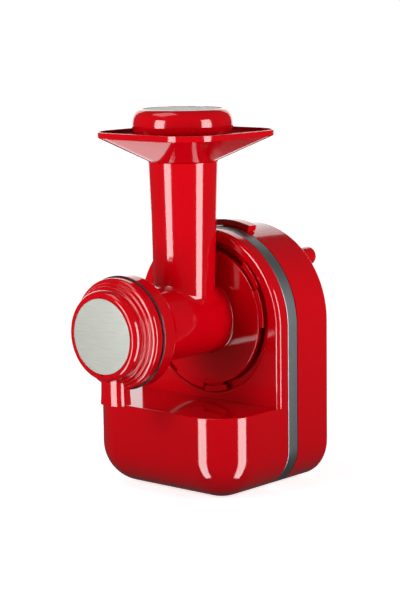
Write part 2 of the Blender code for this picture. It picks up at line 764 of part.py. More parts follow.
MOTOR_CENTRE = (0.0, MOTOR_Z)
MOTOR_FRONT_Y = SHELF_FRONT_Y + MOTOR_START
MOTOR_REAR_Y = MOTOR_FRONT_Y + MOTOR_LENGTH
CRADLE_START_Y = HATCH_FRONT_Y + HATCH_LEDGE + 0.001
CRADLE_END_Y = CRADLE_START_Y + 0.018
FIRST_GEAR_Y = CUP_REAR_Y + GAP + PLATE_THICKNESS + 0.004
FIRST_GEAR_WIDTH = 0.010
SECOND_GEAR_Y = FIRST_GEAR_Y + FIRST_GEAR_WIDTH + 0.004
SECOND_GEAR_WIDTH = 0.012
SHAFT_END_Y = FIRST_GEAR_Y + FIRST_GEAR_WIDTH + 0.001


CAN_ROUND = 24
END_PLATE_THICKNESS = 0.003
FIELD_THICKNESS = 0.0057
FIELD_START_GAP = 0.006
FIELD_END_GAP = 0.014
ROTOR_GAP = 0.0015
FAN_GAP = 0.003
FAN_LENGTH = 0.006
SHAFT_PROUD = 0.003
CRADLE_HALF = 0.024
CRADLE_EDGE = 0.002


def motor():
    """The can, its rear plate, the field ring and the cradle, then the rotor, fan and shaft."""
    inner = MOTOR_RADIUS - MOTOR_WALL
    hole = SHAFT_RADIUS + GAP
    can = lathe(
        [
            (hole, MOTOR_FRONT_Y),
            (MOTOR_RADIUS, MOTOR_FRONT_Y),
            (MOTOR_RADIUS, MOTOR_REAR_Y),
            (inner, MOTOR_REAR_Y),
            (inner, MOTOR_FRONT_Y + MOTOR_WALL),
            (hole, MOTOR_FRONT_Y + MOTOR_WALL),
        ],
        MOTOR_CENTRE, "Y", CAN_ROUND,
    )
    add_piece("motor_can", can, (STEEL, 0.4, 1.0))
    plate_start = MOTOR_REAR_Y + GAP
    plate_end = plate_start + END_PLATE_THICKNESS
    plate = tube(MOTOR_RADIUS, hole, plate_start, plate_end, MOTOR_CENTRE, segments=CAN_ROUND)
    add_piece("motor_end_plate", plate, (NYLON, 0.5, 0.0))
    field_start = MOTOR_FRONT_Y + MOTOR_WALL + FIELD_START_GAP
    field_end = MOTOR_REAR_Y - FIELD_END_GAP
    field_inner = inner - GAP - FIELD_THICKNESS
    field = tube(inner - GAP, field_inner, field_start, field_end, MOTOR_CENTRE, segments=CAN_ROUND)
    add_piece("motor_stator", field, (DARK_METAL, 0.5, 1.0))
    turning = joint_frame("motor_axis", (0.0, MOTOR_FRONT_Y, MOTOR_Z))
    shaft = rod(SHAFT_RADIUS, MOTOR_FRONT_Y - SHAFT_PROUD, SHAFT_END_Y, MOTOR_CENTRE)
    add_piece("motor_shaft", shaft, (STEEL, 0.25, 1.0), turning)
    rotor = tube(field_inner - ROTOR_GAP, hole, field_start, field_end, MOTOR_CENTRE)
    add_piece("motor_rotor", rotor, (COPPER, 0.5, 1.0), turning)
    fan_start = field_end + FAN_GAP
    fan = tube(inner - FAN_GAP, hole, fan_start, fan_start + FAN_LENGTH, MOTOR_CENTRE)
    add_piece("motor_fan", fan, (GRAPHITE, 0.5, 0.0), turning)
    pinion = prism(gear_outline(MOTOR_TEETH, MOTOR_Z, 90.0), FIRST_GEAR_Y - 0.001, SHAFT_END_Y - 0.0005)
    piece = add_piece("motor_pinion", pinion, (BRASS, 0.3, 1.0), turning)
    cut(piece, rod(hole, FIRST_GEAR_Y - 0.01, SHAFT_END_Y + 0.01, MOTOR_CENTRE))
    motor_cradle()


def motor_cradle():
    """The saddle on the hatch that carries the motor can."""
    floor = BASE_Z + HATCH_THICKNESS + GAP
    half = CRADLE_HALF
    radius = MOTOR_RADIUS + GAP
    spread = math.degrees(math.asin((half - CRADLE_EDGE) / radius))
    horn_z = MOTOR_Z - radius * math.cos(math.radians(spread))
    outline = [(-half, floor), (half, floor), (half, horn_z)]
    outline += arc(0.0, MOTOR_Z, radius, 270 + spread, 270 - spread, 10)
    outline += [(-half, horn_z)]
    add_piece("motor_cradle", prism(outline, CRADLE_START_Y, CRADLE_END_Y), (GRAPHITE, 0.6, 0.0))


# ---------------------------------------------------------------- gears

def gear_outline(teeth, centre_z, tooth_angle):
    """A spur gear seen along Y, with straight flanks and one tooth centred at tooth_angle."""
    pitch = GEAR_MODULE * teeth / 2
    tip = pitch + 0.8 * GEAR_MODULE
    root = pitch - 1.15 * GEAR_MODULE
    half = math.pi * GEAR_MODULE / 4 - GEAR_BACKLASH
    slope = math.tan(math.radians(22))
    tip_half = (half - (tip - pitch) * slope) / tip
    root_half = (half + (pitch - root) * slope) / root
    points = []
    for tooth in range(teeth):
        middle = math.radians(tooth_angle + 360.0 * tooth / teeth)
        for radius, turn in ((root, -root_half), (tip, -tip_half), (tip, tip_half), (root, root_half)):
            points.append((radius * math.cos(middle + turn), centre_z + radius * math.sin(middle + turn)))
    return points


def gears():
    """The idler with its two rims of teeth, and the big gear on the spindle."""
    idler_centre = (0.0, IDLER_Z)
    idler_frame = joint_frame("idler_axis", (0.0, FIRST_GEAR_Y, IDLER_Z))
    first_end = FIRST_GEAR_Y + FIRST_GEAR_WIDTH
    second_end = SECOND_GEAR_Y + SECOND_GEAR_WIDTH
    big_rim = gear_outline(IDLER_TEETH, IDLER_Z, -90.0 + 180.0 / IDLER_TEETH)
    idler = add_piece("idler_gear", prism(big_rim, FIRST_GEAR_Y, first_end), (NYLON, 0.4, 0.0), idler_frame)
    small_rim = gear_outline(IDLER_PINION_TEETH, IDLER_Z, 90.0)
    join(idler, prism(small_rim, (FIRST_GEAR_Y + first_end) / 2, second_end + 0.001))
    cut(idler, rod(IDLER_PIN_RADIUS + GAP, FIRST_GEAR_Y - 0.01, second_end + 0.01, idler_centre))
    output_rim = gear_outline(OUTPUT_TEETH, AXIS_Z, -90.0 + 180.0 / OUTPUT_TEETH)
    output = prism(output_rim, SECOND_GEAR_Y, second_end)
    piece = add_piece("output_gear", output, (NYLON, 0.4, 0.0), SPINDLE_FRAME)
    cut(piece, rod(SPINDLE_RADIUS + GAP, SECOND_GEAR_Y - 0.01, second_end + 0.01, AXIS_CENTRE))


PLATE_FOOT_Z = IDLER_Z - 0.009
PLATE_SHOULDER_Z = IDLER_Z + 0.015
PLATE_WAIST_Z = AXIS_Z - 0.011
PLATE_NOTCH_Z = AXIS_Z + 0.034
PLATE_ARM_Z = AXIS_Z + 0.042
PLATE_TOP_Z = AXIS_Z + 0.058
PLATE_HALF = (
    (0.056, PLATE_FOOT_Z), (0.056, PLATE_SHOULDER_Z), (0.030, PLATE_WAIST_Z), (0.047, PLATE_ARM_Z),
    (0.047, PLATE_TOP_Z), (0.033, PLATE_TOP_Z), (0.015, PLATE_NOTCH_Z),
)
PLATE_OUTLINE = PLATE_HALF + tuple((-x, z) for x, z in reversed(PLATE_HALF))
LOW_POST_Z = IDLER_Z + 0.005
TOP_POST_Z = AXIS_Z + 0.050
PLATE_POSTS = ((-0.050, LOW_POST_Z), (0.050, LOW_POST_Z), (-0.040, TOP_POST_Z), (0.040, TOP_POST_Z))
PLATE_FRONT_Y = CUP_REAR_Y + GAP
PLATE_REAR_Y = SECOND_GEAR_Y + SECOND_GEAR_WIDTH + 0.004
GEAR_POST_RADIUS = 0.0035
PIN_PROUD = 0.001
BUSH_LENGTH = 0.006
BUSH_PROUD_FRONT = 0.002
BUSH_PROUD_REAR = 0.001


def gear_frame():
    """Two plates held apart by posts, with the idler's pin and the spindle's bushes."""
    bush_hole = SPINDLE_RADIUS + BUSH_WALL + 2 * GAP
    for name, start in (("gear_plate_front", PLATE_FRONT_Y), ("gear_plate_rear", PLATE_REAR_Y)):
        end = start + PLATE_THICKNESS
        piece = add_piece(name, prism(PLATE_OUTLINE, start, end), (STEEL, 0.4, 1.0))
        spindle_hole = rod(bush_hole, start - WALL, end + WALL, AXIS_CENTRE)
        pin_hole = rod(IDLER_PIN_RADIUS + GAP, start - WALL, end + WALL, (0.0, IDLER_Z))
        cut(piece, spindle_hole, pin_hole)
    post_start, post_end = PLATE_FRONT_Y + PLATE_THICKNESS + GAP, PLATE_REAR_Y - GAP
    for number, place in enumerate(PLATE_POSTS, start=1):
        post = rod(GEAR_POST_RADIUS, post_start, post_end, place, segments=8)
        add_piece(f"gear_post_{number}", post, (STEEL, 0.3, 1.0))
    pin_end = PLATE_REAR_Y + PLATE_THICKNESS + PIN_PROUD
    pin = rod(IDLER_PIN_RADIUS, PLATE_FRONT_Y, pin_end, (0.0, IDLER_Z))
    add_piece("idler_pin", pin, (STEEL, 0.25, 1.0))
    bushes = (
        ("spindle_bush_front", PLATE_FRONT_Y - BUSH_PROUD_FRONT),
        ("spindle_bush_rear", PLATE_REAR_Y - BUSH_PROUD_REAR),
    )
    for name, start in bushes:
        bush = tube(bush_hole - GAP, SPINDLE_RADIUS + GAP, start, start + BUSH_LENGTH, AXIS_CENTRE)
        add_piece(name, bush, (BRASS, 0.35, 1.0))


# ---------------------------------------------------------------- spindle, auger and cutter

AUGER_REAR_Y = FLANGE_FRONT_Y - 0.004
AUGER_FRONT_Y = NECK_REAR_Y - 0.006
CONE_REAR_Y = COLLAR_REAR_Y - 0.002
CONE_FRONT_Y = CONE_REAR_Y - CONE_LENGTH
SOCKET_DEPTH = 0.014
NOSE_RADIUS = 0.005
AUGER_STEPS = 22
THREAD_ROOT_ANGLE = 40
THREAD_TIP_ANGLE = 9
SPINDLE_PROUD = 0.004
BLADE_ROOT = 0.004
BLADE_END_GAP = 0.004
BLADE_TIP_GAP = 0.005
BLADE_TIP_OUT = 0.002


def spindle_and_auger():
    """The spindle out of the gearbox, the screw that feeds the barrel and its nose for the cone."""
    spindle_front = AUGER_REAR_Y - SOCKET_DEPTH
    spindle_rear = PLATE_REAR_Y + PLATE_THICKNESS + SPINDLE_PROUD
    spindle = rod(SPINDLE_RADIUS, spindle_front, spindle_rear, AXIS_CENTRE)
    add_piece("drive_spindle", spindle, (STEEL, 0.25, 1.0), SPINDLE_FRAME)
    length = AUGER_REAR_Y - AUGER_FRONT_Y
    rings = []
    for step in range(AUGER_STEPS + 1):
        turn = 360.0 * length / AUGER_PITCH * step / AUGER_STEPS
        station = AUGER_FRONT_Y + length * step / AUGER_STEPS
        root_end = turn + 360 - THREAD_ROOT_ANGLE
        outline = arc(0.0, AXIS_Z, AUGER_SHAFT, turn + THREAD_ROOT_ANGLE, root_end, 7)
        outline += arc(0.0, AXIS_Z, AUGER_RADIUS, turn - THREAD_TIP_ANGLE, turn + THREAD_TIP_ANGLE, 1)
        rings.append([(u, station, v) for u, v in outline])
    piece = add_piece("auger", loft(rings), (NYLON, 0.35, 0.0), SPINDLE_FRAME)
    socket = rod(SPINDLE_RADIUS + GAP, spindle_front - GAP, AUGER_REAR_Y + WALL, AXIS_CENTRE)
    cut(piece, socket)
    nose = rod(NOSE_RADIUS, CONE_REAR_Y - SOCKET_DEPTH + GAP, AUGER_FRONT_Y + WALL, AXIS_CENTRE)
    join(piece, nose)


def blade_outline(margin):
    """A blade in the plane of the cone's axis, as (radius, y) points, grown by margin."""
    top = BLADE_HEIGHT + margin
    root = -BLADE_ROOT - margin
    rear, front = CONE_REAR_Y - BLADE_END_GAP + margin, CONE_FRONT_Y + BLADE_TIP_GAP - margin
    tip = CONE_TIP_RADIUS + BLADE_TIP_OUT
    return [(CONE_RADIUS + root, rear), (CONE_RADIUS + top, rear), (tip + top, front), (tip + root, front)]


def blade_solid(angle, margin):
    half = BLADE_THICKNESS / 2 + margin
    along = Vector((math.cos(angle), 0.0, math.sin(angle)))
    across = Vector((-math.sin(angle), 0.0, math.cos(angle)))
    rings = []
    for side in (-half, half):
        ring = [BARREL_AXIS + Vector((0.0, y, 0.0)) + along * radius + across * side
                for radius, y in blade_outline(margin)]
        rings.append(ring)
    return loft(rings)


def cutter():
    """The cone that breaks up the fruit, with steel blades let into it."""
    socket_end = CONE_REAR_Y - SOCKET_DEPTH
    hole = NOSE_RADIUS + GAP
    profile = [
        (0.0, socket_end),
        (hole, socket_end),
        (hole, CONE_REAR_Y),
        (CONE_RADIUS, CONE_REAR_Y),
        (CONE_RADIUS, CONE_REAR_Y - 0.003),
        (CONE_TIP_RADIUS, CONE_FRONT_Y + 0.002),
        (CONE_TIP_RADIUS - 0.003, CONE_FRONT_Y),
        (0.0, CONE_FRONT_Y),
    ]
    piece = add_piece("cutter_cone", lathe(profile, AXIS_CENTRE, "Y", 24), (NYLON, 0.35, 0.0), SPINDLE_FRAME)
    for number in range(BLADE_COUNT):
        angle = math.radians(90.0 + 360.0 * number / BLADE_COUNT)
        cut(piece, blade_solid(angle, GAP))
        add_piece(f"cutter_blade_{number + 1}", blade_solid(angle, 0.0), (STEEL, 0.2, 1.0), SPINDLE_FRAME)


# ---------------------------------------------------------------- chute

def tube_radius(height):
    return TUBE_TOP_RADIUS - (TUBE_TOP_Z - height) * TUBE_TAPER


def chute_housing():
    """Barrel, collar, feed tube and bayonet flange in one moulding."""
    outer = [
        (0.0, COLLAR_FRONT_Y),
        (COLLAR_RADIUS, COLLAR_FRONT_Y),
        (COLLAR_RADIUS, COLLAR_REAR_Y - 0.004),
        (COLLAR_RADIUS - 0.0015, COLLAR_REAR_Y),
    ]
    for step in range(1, 5):
        share = step / 4
        drop = (COLLAR_RADIUS - 0.0015 - BARREL_RADIUS) * math.sin(math.radians(90 * share))
        outer.append((COLLAR_RADIUS - 0.0015 - drop, COLLAR_REAR_Y + NECK_LENGTH * share))
    outer += [
        (BARREL_RADIUS, FLANGE_FRONT_Y),
        (FLANGE_RADIUS, FLANGE_FRONT_Y),
        (FLANGE_RADIUS, FLANGE_REAR_Y),
        (0.0, FLANGE_REAR_Y),
    ]
    piece = add_piece("chute_housing", lathe(outer, AXIS_CENTRE), (RED, 0.12, 0.0), CHUTE_FRAME)
    tube_centre = (0.0, TUBE_Y)
    tube_low = AXIS_Z + BARREL_RADIUS / 2
    stack = [
        (0.0, tube_low),
        (tube_radius(tube_low), tube_low),
        (TUBE_TOP_RADIUS, TUBE_TOP_Z),
        (0.0, TUBE_TOP_Z),
    ]
    join(piece, lathe(stack, tube_centre, "Z", TUBE_ROUND))
    for number in range(LUG_COUNT):
        start = LUG_START + number * LUG_STEP
        end = start + LUG_ANGLE
        inside = FLANGE_RADIUS - LUG_REACH
        lug = sector(inside, LUG_RADIUS, start, end, FLANGE_FRONT_Y + GAP, HOOK_REAR_Y, AXIS_CENTRE)
        hook_rear = HOOK_REAR_Y - GAP / 2
        hook = sector(
            inside + GAP, LUG_RADIUS - GAP, end - HOOK_OVERLAP, end + HOOK_ANGLE,
            HOOK_FRONT_Y, hook_rear, AXIS_CENTRE,
        )
        join(piece, lug, hook)
    bore = [
        (0.0, COLLAR_FRONT_Y - WALL),
        (COLLAR_BORE, COLLAR_FRONT_Y - WALL),
        (COLLAR_BORE, COLLAR_REAR_Y + 0.001),
        (BARREL_BORE, NECK_REAR_Y - 0.004),
        (BARREL_BORE, FLANGE_FRONT_Y - 0.002),
        (0.0, FLANGE_FRONT_Y - 0.002),
    ]
    above = TUBE_TOP_Z + WALL
    tube_bore = [
        (0.0, AXIS_Z),
        (tube_radius(AXIS_Z) - TUBE_WALL, AXIS_Z),
        (tube_radius(above) - TUBE_WALL, above),
        (0.0, above),
    ]
    rear_start, rear_end = FLANGE_FRONT_Y - WALL, HOOK_REAR_Y + WALL
    rear_hole = rod(SPINDLE_RADIUS + 2 * GAP, rear_start, rear_end, AXIS_CENTRE)
    margin = math.degrees((PIN_RADIUS + 2 * GAP) / PIN_ORBIT)
    half = PIN_RADIUS + 2 * GAP
    groove = sector(
        PIN_ORBIT - half, PIN_ORBIT + half, PIN_ANGLE - margin, PIN_ANGLE + CHUTE_TWIST + margin,
        FLANGE_REAR_Y - 0.0032, HOOK_REAR_Y + WALL, AXIS_CENTRE, steps=8,
    )
    cut(piece, lathe(bore, AXIS_CENTRE), lathe(tube_bore, tube_centre, "Z", TUBE_ROUND), rear_hole, groove)


# ---------------------------------------------------------------- cap

def cap_seal():
    ring = tube(SEAL_RADIUS, COLLAR_BORE - 0.0005, SEAL_FRONT_Y, SEAL_REAR_Y, AXIS_CENTRE, segments=ROUND)
    add_piece("cap_seal", ring, (RUBBER, 0.4, 0.0), CHUTE_FRAME)


CAP_REAR_Y = DISC_Y + CAP_DEPTH
CAP_SPIGOT = 0.009
CAP_SPIGOT_RADIUS = COLLAR_BORE - 2.5 * GAP - 0.0005
CAP_RIM = 0.041


def front_cap():
    """The stepped cap, with its spigot into the collar and the spout under it."""
    outer = [
        (0.0, DISC_Y + DISC_THICKNESS),
        (DISC_RADIUS + GAP, DISC_Y + DISC_THICKNESS),
        (DISC_RADIUS + GAP, DISC_Y),
        (CAP_RIM - 0.004, DISC_Y + 0.0008),
        (CAP_RIM - 0.001, DISC_Y + 0.003),
        (CAP_RIM, DISC_Y + 0.0075),
        (CAP_RIM + 0.003, DISC_Y + 0.010),
        (CAP_RIM + 0.0035, DISC_Y + 0.0135),
        (CAP_RIM + 0.006, DISC_Y + 0.0155),
        (CAP_RADIUS - 0.001, CAP_REAR_Y - 0.004),
        (CAP_RADIUS, CAP_REAR_Y),
        (CAP_SPIGOT_RADIUS, CAP_REAR_Y),
        (CAP_SPIGOT_RADIUS, CAP_REAR_Y + CAP_SPIGOT),
        (0.0, CAP_REAR_Y + CAP_SPIGOT),
    ]
    piece = add_piece("front_cap", lathe(outer, AXIS_CENTRE), (RED, 0.12, 0.0), CAP_FRAME)
    spout_y = DISC_Y + SPOUT_SETBACK + SPOUT_DEPTH / 2
    bottom = BASE_Z + SPOUT_BOTTOM
    inner_top = AXIS_Z - CAP_RIM / 2
    outline = rounded_rectangle(SPOUT_WIDTH / 2, SPOUT_DEPTH / 2, SPOUT_CORNER, 3, (0.0, spout_y))
    join(piece, prism(outline, bottom, inner_top, "Z"))
    front_wall = DISC_Y + DISC_THICKNESS + CAP_WALL
    hollow = [
        (0.0, front_wall),
        (CAP_RIM - CAP_WALL - 0.002, front_wall),
        (CAP_RIM - CAP_WALL, DISC_Y + 0.0085),
        (CAP_SPIGOT_RADIUS - CAP_WALL, CAP_REAR_Y - 0.004),
        (CAP_SPIGOT_RADIUS - CAP_WALL, CAP_REAR_Y + CAP_SPIGOT + WALL),
        (0.0, CAP_REAR_Y + CAP_SPIGOT + WALL),
    ]
    bore_half_x = SPOUT_WIDTH / 2 - SPOUT_WALL
    bore_half_y = SPOUT_DEPTH / 2 - SPOUT_WALL
    spout_bore = rounded_rectangle(bore_half_x, bore_half_y, SPOUT_CORNER - SPOUT_WALL, 2, (0.0, spout_y))
    cut(piece, lathe(hollow, AXIS_CENTRE), prism(spout_bore, bottom - WALL, inner_top, "Z"))
    disc = rod(DISC_RADIUS, DISC_Y, DISC_Y + DISC_THICKNESS - GAP, AXIS_CENTRE, segments=ROUND)
    add_piece("cap_disc", disc, (STEEL, 0.3, 1.0), CAP_FRAME)


# ---------------------------------------------------------------- tray and pusher

def tray_ring(share, height, wall):
    """A ring of the funnel, from the round tube end (share 0) to the square rim (share 1)."""
    centre_y = TUBE_Y + (TRAY_Y - TUBE_Y) * share
    inner = TUBE_TOP_RADIUS + 0.001 - wall
    round_ring = rounded_rectangle(inner, inner, inner - 0.0001, TRAY_STEPS, (0.0, centre_y))
    half = TRAY_HALF - wall
    square_ring = rounded_rectangle(half, half, TRAY_CORNER - wall, TRAY_STEPS, (0.0, centre_y))
    points = []
    for (u, v), (p, q) in zip(round_ring, square_ring):
        points.append((u + (p - u) * share, v + (q - v) * share, height))
    return points


def hopper_tray():
    """The square funnel on top of the feed tube, with a spigot that drops into it."""
    mouth = TUBE_TOP_RADIUS - TUBE_WALL - 4 * GAP
    inner_mouth = mouth - 0.0024
    seat = TUBE_TOP_Z + GAP
    centre = (0.0, TUBE_Y)

    def circle(radius, height):
        ring = rounded_rectangle(radius, radius, radius - 0.0001, TRAY_STEPS, centre)
        return [(u, v, height) for u, v in ring]

    spigot_low = TUBE_TOP_Z - SPIGOT_DEPTH
    rings = [
        circle(mouth - SPIGOT_DEPTH * TUBE_TAPER, spigot_low),
        circle(mouth, seat),
        tray_ring(0.0, seat, 0.0),
        tray_ring(1.0, RIM_Z - TRAY_RIM, 0.0),
        tray_ring(1.0, RIM_Z, 0.0),
        tray_ring(1.0, RIM_Z, TRAY_WALL),
        tray_ring(1.0, RIM_Z - TRAY_RIM + TRAY_WALL * 0.4, TRAY_WALL),
        tray_ring(0.0, seat + TRAY_WALL, TRAY_WALL - 0.0005),
        circle(inner_mouth, seat + TRAY_WALL),
        circle(inner_mouth - SPIGOT_DEPTH * TUBE_TAPER, spigot_low),
    ]
    add_piece("hopper_tray", loft(rings, closed=True), (RED, 0.12, 0.0), TRAY_FRAME)


def pusher():
    """The plunger: a hollow stem, a round knob and the metal inlay let into its top."""
    centre = (0.0, TUBE_Y)
    seat = TUBE_TOP_Z + GAP + TRAY_WALL + GAP
    bottom = seat - STEM_LENGTH
    knob_low = KNOB_Z - KNOB_HEIGHT
    shoulder = STEM_RADIUS + 0.006
    widest = KNOB_Z - KNOB_HEIGHT * 0.45
    stem_wall = 0.0025
    profile = [
        (0.0, bottom),
        (STEM_RADIUS - 0.002, bottom),
        (STEM_RADIUS, bottom + 0.002),
        (STEM_RADIUS, seat),
        (shoulder, seat),
        (shoulder, knob_low),
        (KNOB_RADIUS - 0.008, knob_low),
        (KNOB_RADIUS, widest),
        (KNOB_RADIUS - 0.003, KNOB_Z - 0.004),
        (INLAY_RADIUS + 0.003, KNOB_Z),
        (INLAY_RADIUS + GAP, KNOB_Z),
        (INLAY_RADIUS + GAP, KNOB_Z - DISC_THICKNESS - 2 * GAP),
        (STEM_RADIUS - stem_wall, KNOB_Z - DISC_THICKNESS - 2 * GAP),
        (STEM_RADIUS - stem_wall, bottom + stem_wall),
        (0.0, bottom + stem_wall),
    ]
    add_piece("pusher", lathe(profile, centre, "Z"), (RED, 0.12, 0.0), PUSHER_FRAME)
    inlay = rod(INLAY_RADIUS, KNOB_Z - GAP - DISC_THICKNESS, KNOB_Z - GAP, centre, "Z", ROUND)
    add_piece("pusher_inlay", inlay, (STEEL, 0.3, 1.0), PUSHER_FRAME)


# ---------------------------------------------------------------- assembly

clear_scene()
SPINDLE_FRAME = joint_frame("spindle_axis", (0.0, SECOND_GEAR_Y, AXIS_Z))
CHUTE_FRAME = joint_frame("chute_axis", (0.0, FLANGE_FRONT_Y, AXIS_Z))
CAP_FRAME = joint_frame("cap_axis", (0.0, SEAL_FRONT_Y, AXIS_Z), CHUTE_FRAME)
TRAY_FRAME = joint_frame("tray_axis", (0.0, TUBE_Y, TUBE_TOP_Z), CHUTE_FRAME)
PUSHER_FRAME = joint_frame("pusher_axis", (0.0, TUBE_Y, KNOB_Z), TRAY_FRAME)

front_casing()
rear_casing()
trim_band()
base_cover()
feet()
bayonet_ring()
cord_posts()
casing_screws()
switch_bezel()
power_rocker()
cord_inlet()
release_slider()
latch_spring()
motor()
gears()
gear_frame()
spindle_and_auger()
cutter()
chute_housing()
cap_seal()
front_cap()
hopper_tray()
pusher()
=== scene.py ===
"""The finished look of a motorised frozen fruit dessert maker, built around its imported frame.

Everything is in metres. +Z is up, the spout end faces -Y and the feet stand on Z = 0.
"""
import math

import bpy
from mathutils import Matrix, Vector


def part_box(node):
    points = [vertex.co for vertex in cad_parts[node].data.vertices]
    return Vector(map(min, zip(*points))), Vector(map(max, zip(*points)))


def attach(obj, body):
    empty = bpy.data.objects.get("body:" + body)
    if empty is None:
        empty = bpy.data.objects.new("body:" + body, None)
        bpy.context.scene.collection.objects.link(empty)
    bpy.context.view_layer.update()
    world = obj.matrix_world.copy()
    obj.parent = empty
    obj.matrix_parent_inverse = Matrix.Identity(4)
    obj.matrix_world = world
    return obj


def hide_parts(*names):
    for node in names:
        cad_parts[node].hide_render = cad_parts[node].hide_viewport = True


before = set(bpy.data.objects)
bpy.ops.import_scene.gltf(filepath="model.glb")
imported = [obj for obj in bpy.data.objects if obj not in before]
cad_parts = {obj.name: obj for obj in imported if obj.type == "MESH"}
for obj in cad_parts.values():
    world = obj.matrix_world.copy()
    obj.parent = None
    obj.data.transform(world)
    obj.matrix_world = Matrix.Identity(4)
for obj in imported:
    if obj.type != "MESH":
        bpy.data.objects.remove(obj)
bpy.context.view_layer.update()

bl_info = {
    "name": "Frozen Dessert Maker",
    "version": (1, 0, 0),
    "blender": (4, 5, 0),
    "location": "3D View > Sidebar > Dessert Maker",
    "description": "Builds a motorised frozen fruit dessert maker, piece by piece",
    "category": "Object",
}


# ---------------------------------------------------------------- places read from the frame

def middle(node):
    low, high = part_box(node)
    return (low + high) / 2


def footprint(node, axis="Y"):
    """The middle of a node, seen along the axis."""
    low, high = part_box(node)
    other = 2 if axis == "Y" else 1
    return ((low.x + high.x) / 2, (low[other] + high[other]) / 2)


SHELL_LOW, SHELL_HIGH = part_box("front_casing")
REAR_LOW, REAR_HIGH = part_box("rear_casing")
BAND_LOW, BAND_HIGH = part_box("trim_band")
CHUTE_LOW, CHUTE_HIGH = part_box("chute_housing")
SEAL_LOW, SEAL_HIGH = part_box("cap_seal")
CAP_LOW, CAP_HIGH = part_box("front_cap")
RING_LOW, RING_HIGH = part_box("bayonet_ring")
TRAY_LOW, TRAY_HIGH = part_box("hopper_tray")
PUSHER_LOW, PUSHER_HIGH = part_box("pusher")
LATCH_LOW, LATCH_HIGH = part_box("release_slider")
BODY_HALF = SHELL_HIGH.x
BODY_BOTTOM = SHELL_LOW.z
BODY_TOP = SHELL_HIGH.z
BACK_Y = REAR_HIGH.y
BARREL_Z = middle("drive_spindle").z
BARREL = (0.0, BARREL_Z)
ARCH = (0.0, BODY_TOP - BODY_HALF)
TUBE = (0.0, middle("pusher").y)
JOIN_GAP = 0.0003
SLIVER = 0.00002
LATCH_LENGTH = 0.012
LATCH_TRAVEL = 0.005
LATCH_FRONT = LATCH_HIGH.y - LATCH_LENGTH
PIN_AXIS = (0.0, BARREL_Z + 0.060)
CORNERS = ((1, 1, 0), (-1, 1, 90), (-1, -1, 180), (1, -1, 270))


# ---------------------------------------------------------------- settings

def length(name, default, description):
    return bpy.props.FloatProperty(
        name=name, description=description, default=default, min=0.0, precision=5, unit="LENGTH",
    )


def paint(name, default, description):
    return bpy.props.StringProperty(name=name, description=description, default=default)


class BodySizes(bpy.types.PropertyGroup):
    """Sizes of the shells, the shelf and the metal band."""

    shelf_height: length("Shelf height", 0.080, "Height of the flat shelf above the body's underside")
    shelf_depth: length("Shelf depth", 0.076, "From the shelf's front to the upright face")
    corner_radius: length("Corner radius", 0.0390, "Roundness of the shelf's corners and the lower edges")
    face_fillet: length("Face fillet", 0.0043, "Rounding round the upright face")
    back_fillet: length("Back fillet", 0.0025, "Rounding round the back")
    shelf_edge: length("Shelf edge", 0.0012, "Small rounding along the shelf's top edge")
    wall: length("Wall", 0.0035, "Thickness of the moulded shells")
    recess_radius: length("Recess radius", 0.0725, "Radius of the round recess that takes the chute")
    recess_depth: length("Recess depth", 0.009, "Depth of that recess")
    lip: length("Lip step", 0.0018, "How far the shells step in under the band")
    band_thickness: length("Band thickness", 0.0015, "Thickness of the metal band")
    band_edge: length("Band edge", 0.0010, "Bright bevel along the band's edges")


class ChuteSizes(bpy.types.PropertyGroup):
    """Sizes of the barrel, the feed tube and the flange."""

    barrel_radius: length("Barrel radius", 0.0339, "Outside radius of the barrel")
    bore_radius: length("Bore radius", 0.028, "Inside radius of the barrel")
    collar_radius: length("Collar radius", 0.051, "Outside radius of the collar that holds the cap")
    collar_bore: length("Collar bore", 0.0465, "Inside radius of that collar")
    collar_length: length("Collar length", 0.0165, "Length of the collar")
    neck_length: length("Neck length", 0.018, "Length of the curve between collar and barrel")
    flange_radius: length("Flange radius", 0.0645, "Radius of the bayonet flange")
    flange_thickness: length("Flange thickness", 0.0055, "Thickness of that flange")
    tube_radius: length("Feed tube radius", 0.0324, "Outside radius at the top of the feed tube")
    tube_wall: length("Feed tube wall", 0.0027, "Wall of the feed tube")
    foot_fillet: length("Tube foot fillet", 0.0042, "Blend between feed tube and barrel")


class CapSizes(bpy.types.PropertyGroup):
    """Sizes of the front cap and the spout."""

    rim_radius: length("Rim radius", 0.041, "Radius of the rounded ring round the disc")
    base_radius: length("Base radius", 0.0505, "Radius where the cap meets the seal")
    disc_radius: length("Disc radius", 0.0343, "Radius of the brushed disc")
    disc_thickness: length("Disc thickness", 0.0012, "Thickness of the brushed disc")
    spout_width: length("Spout width", 0.026, "Width of the spout")
    spout_depth: length("Spout depth", 0.017, "Depth of the spout, front to back")
    spout_flare: length("Spout flare", 0.0007, "How far the spout widens at its mouth")


class TopSizes(bpy.types.PropertyGroup):
    """Sizes of the tray and the pusher."""

    tray_half: length("Tray half width", 0.0678, "Half the width of the square tray")
    tray_corner: length("Tray corner", 0.034, "Radius of the tray's corners")
    tray_rim: length("Tray rim", 0.0055, "Height of the upright rim")
    tray_wall: length("Tray wall", 0.0022, "Wall of the tray")
    knob_radius: length("Knob radius", 0.0468, "Widest radius of the pusher's knob")
    knob_height: length("Knob height", 0.027, "Height of the knob")
    inlay_radius: length("Inlay radius", 0.0363, "Radius of the metal inlay on the knob")
    stem_radius: length("Stem radius", 0.0245, "Radius of the pusher's stem")


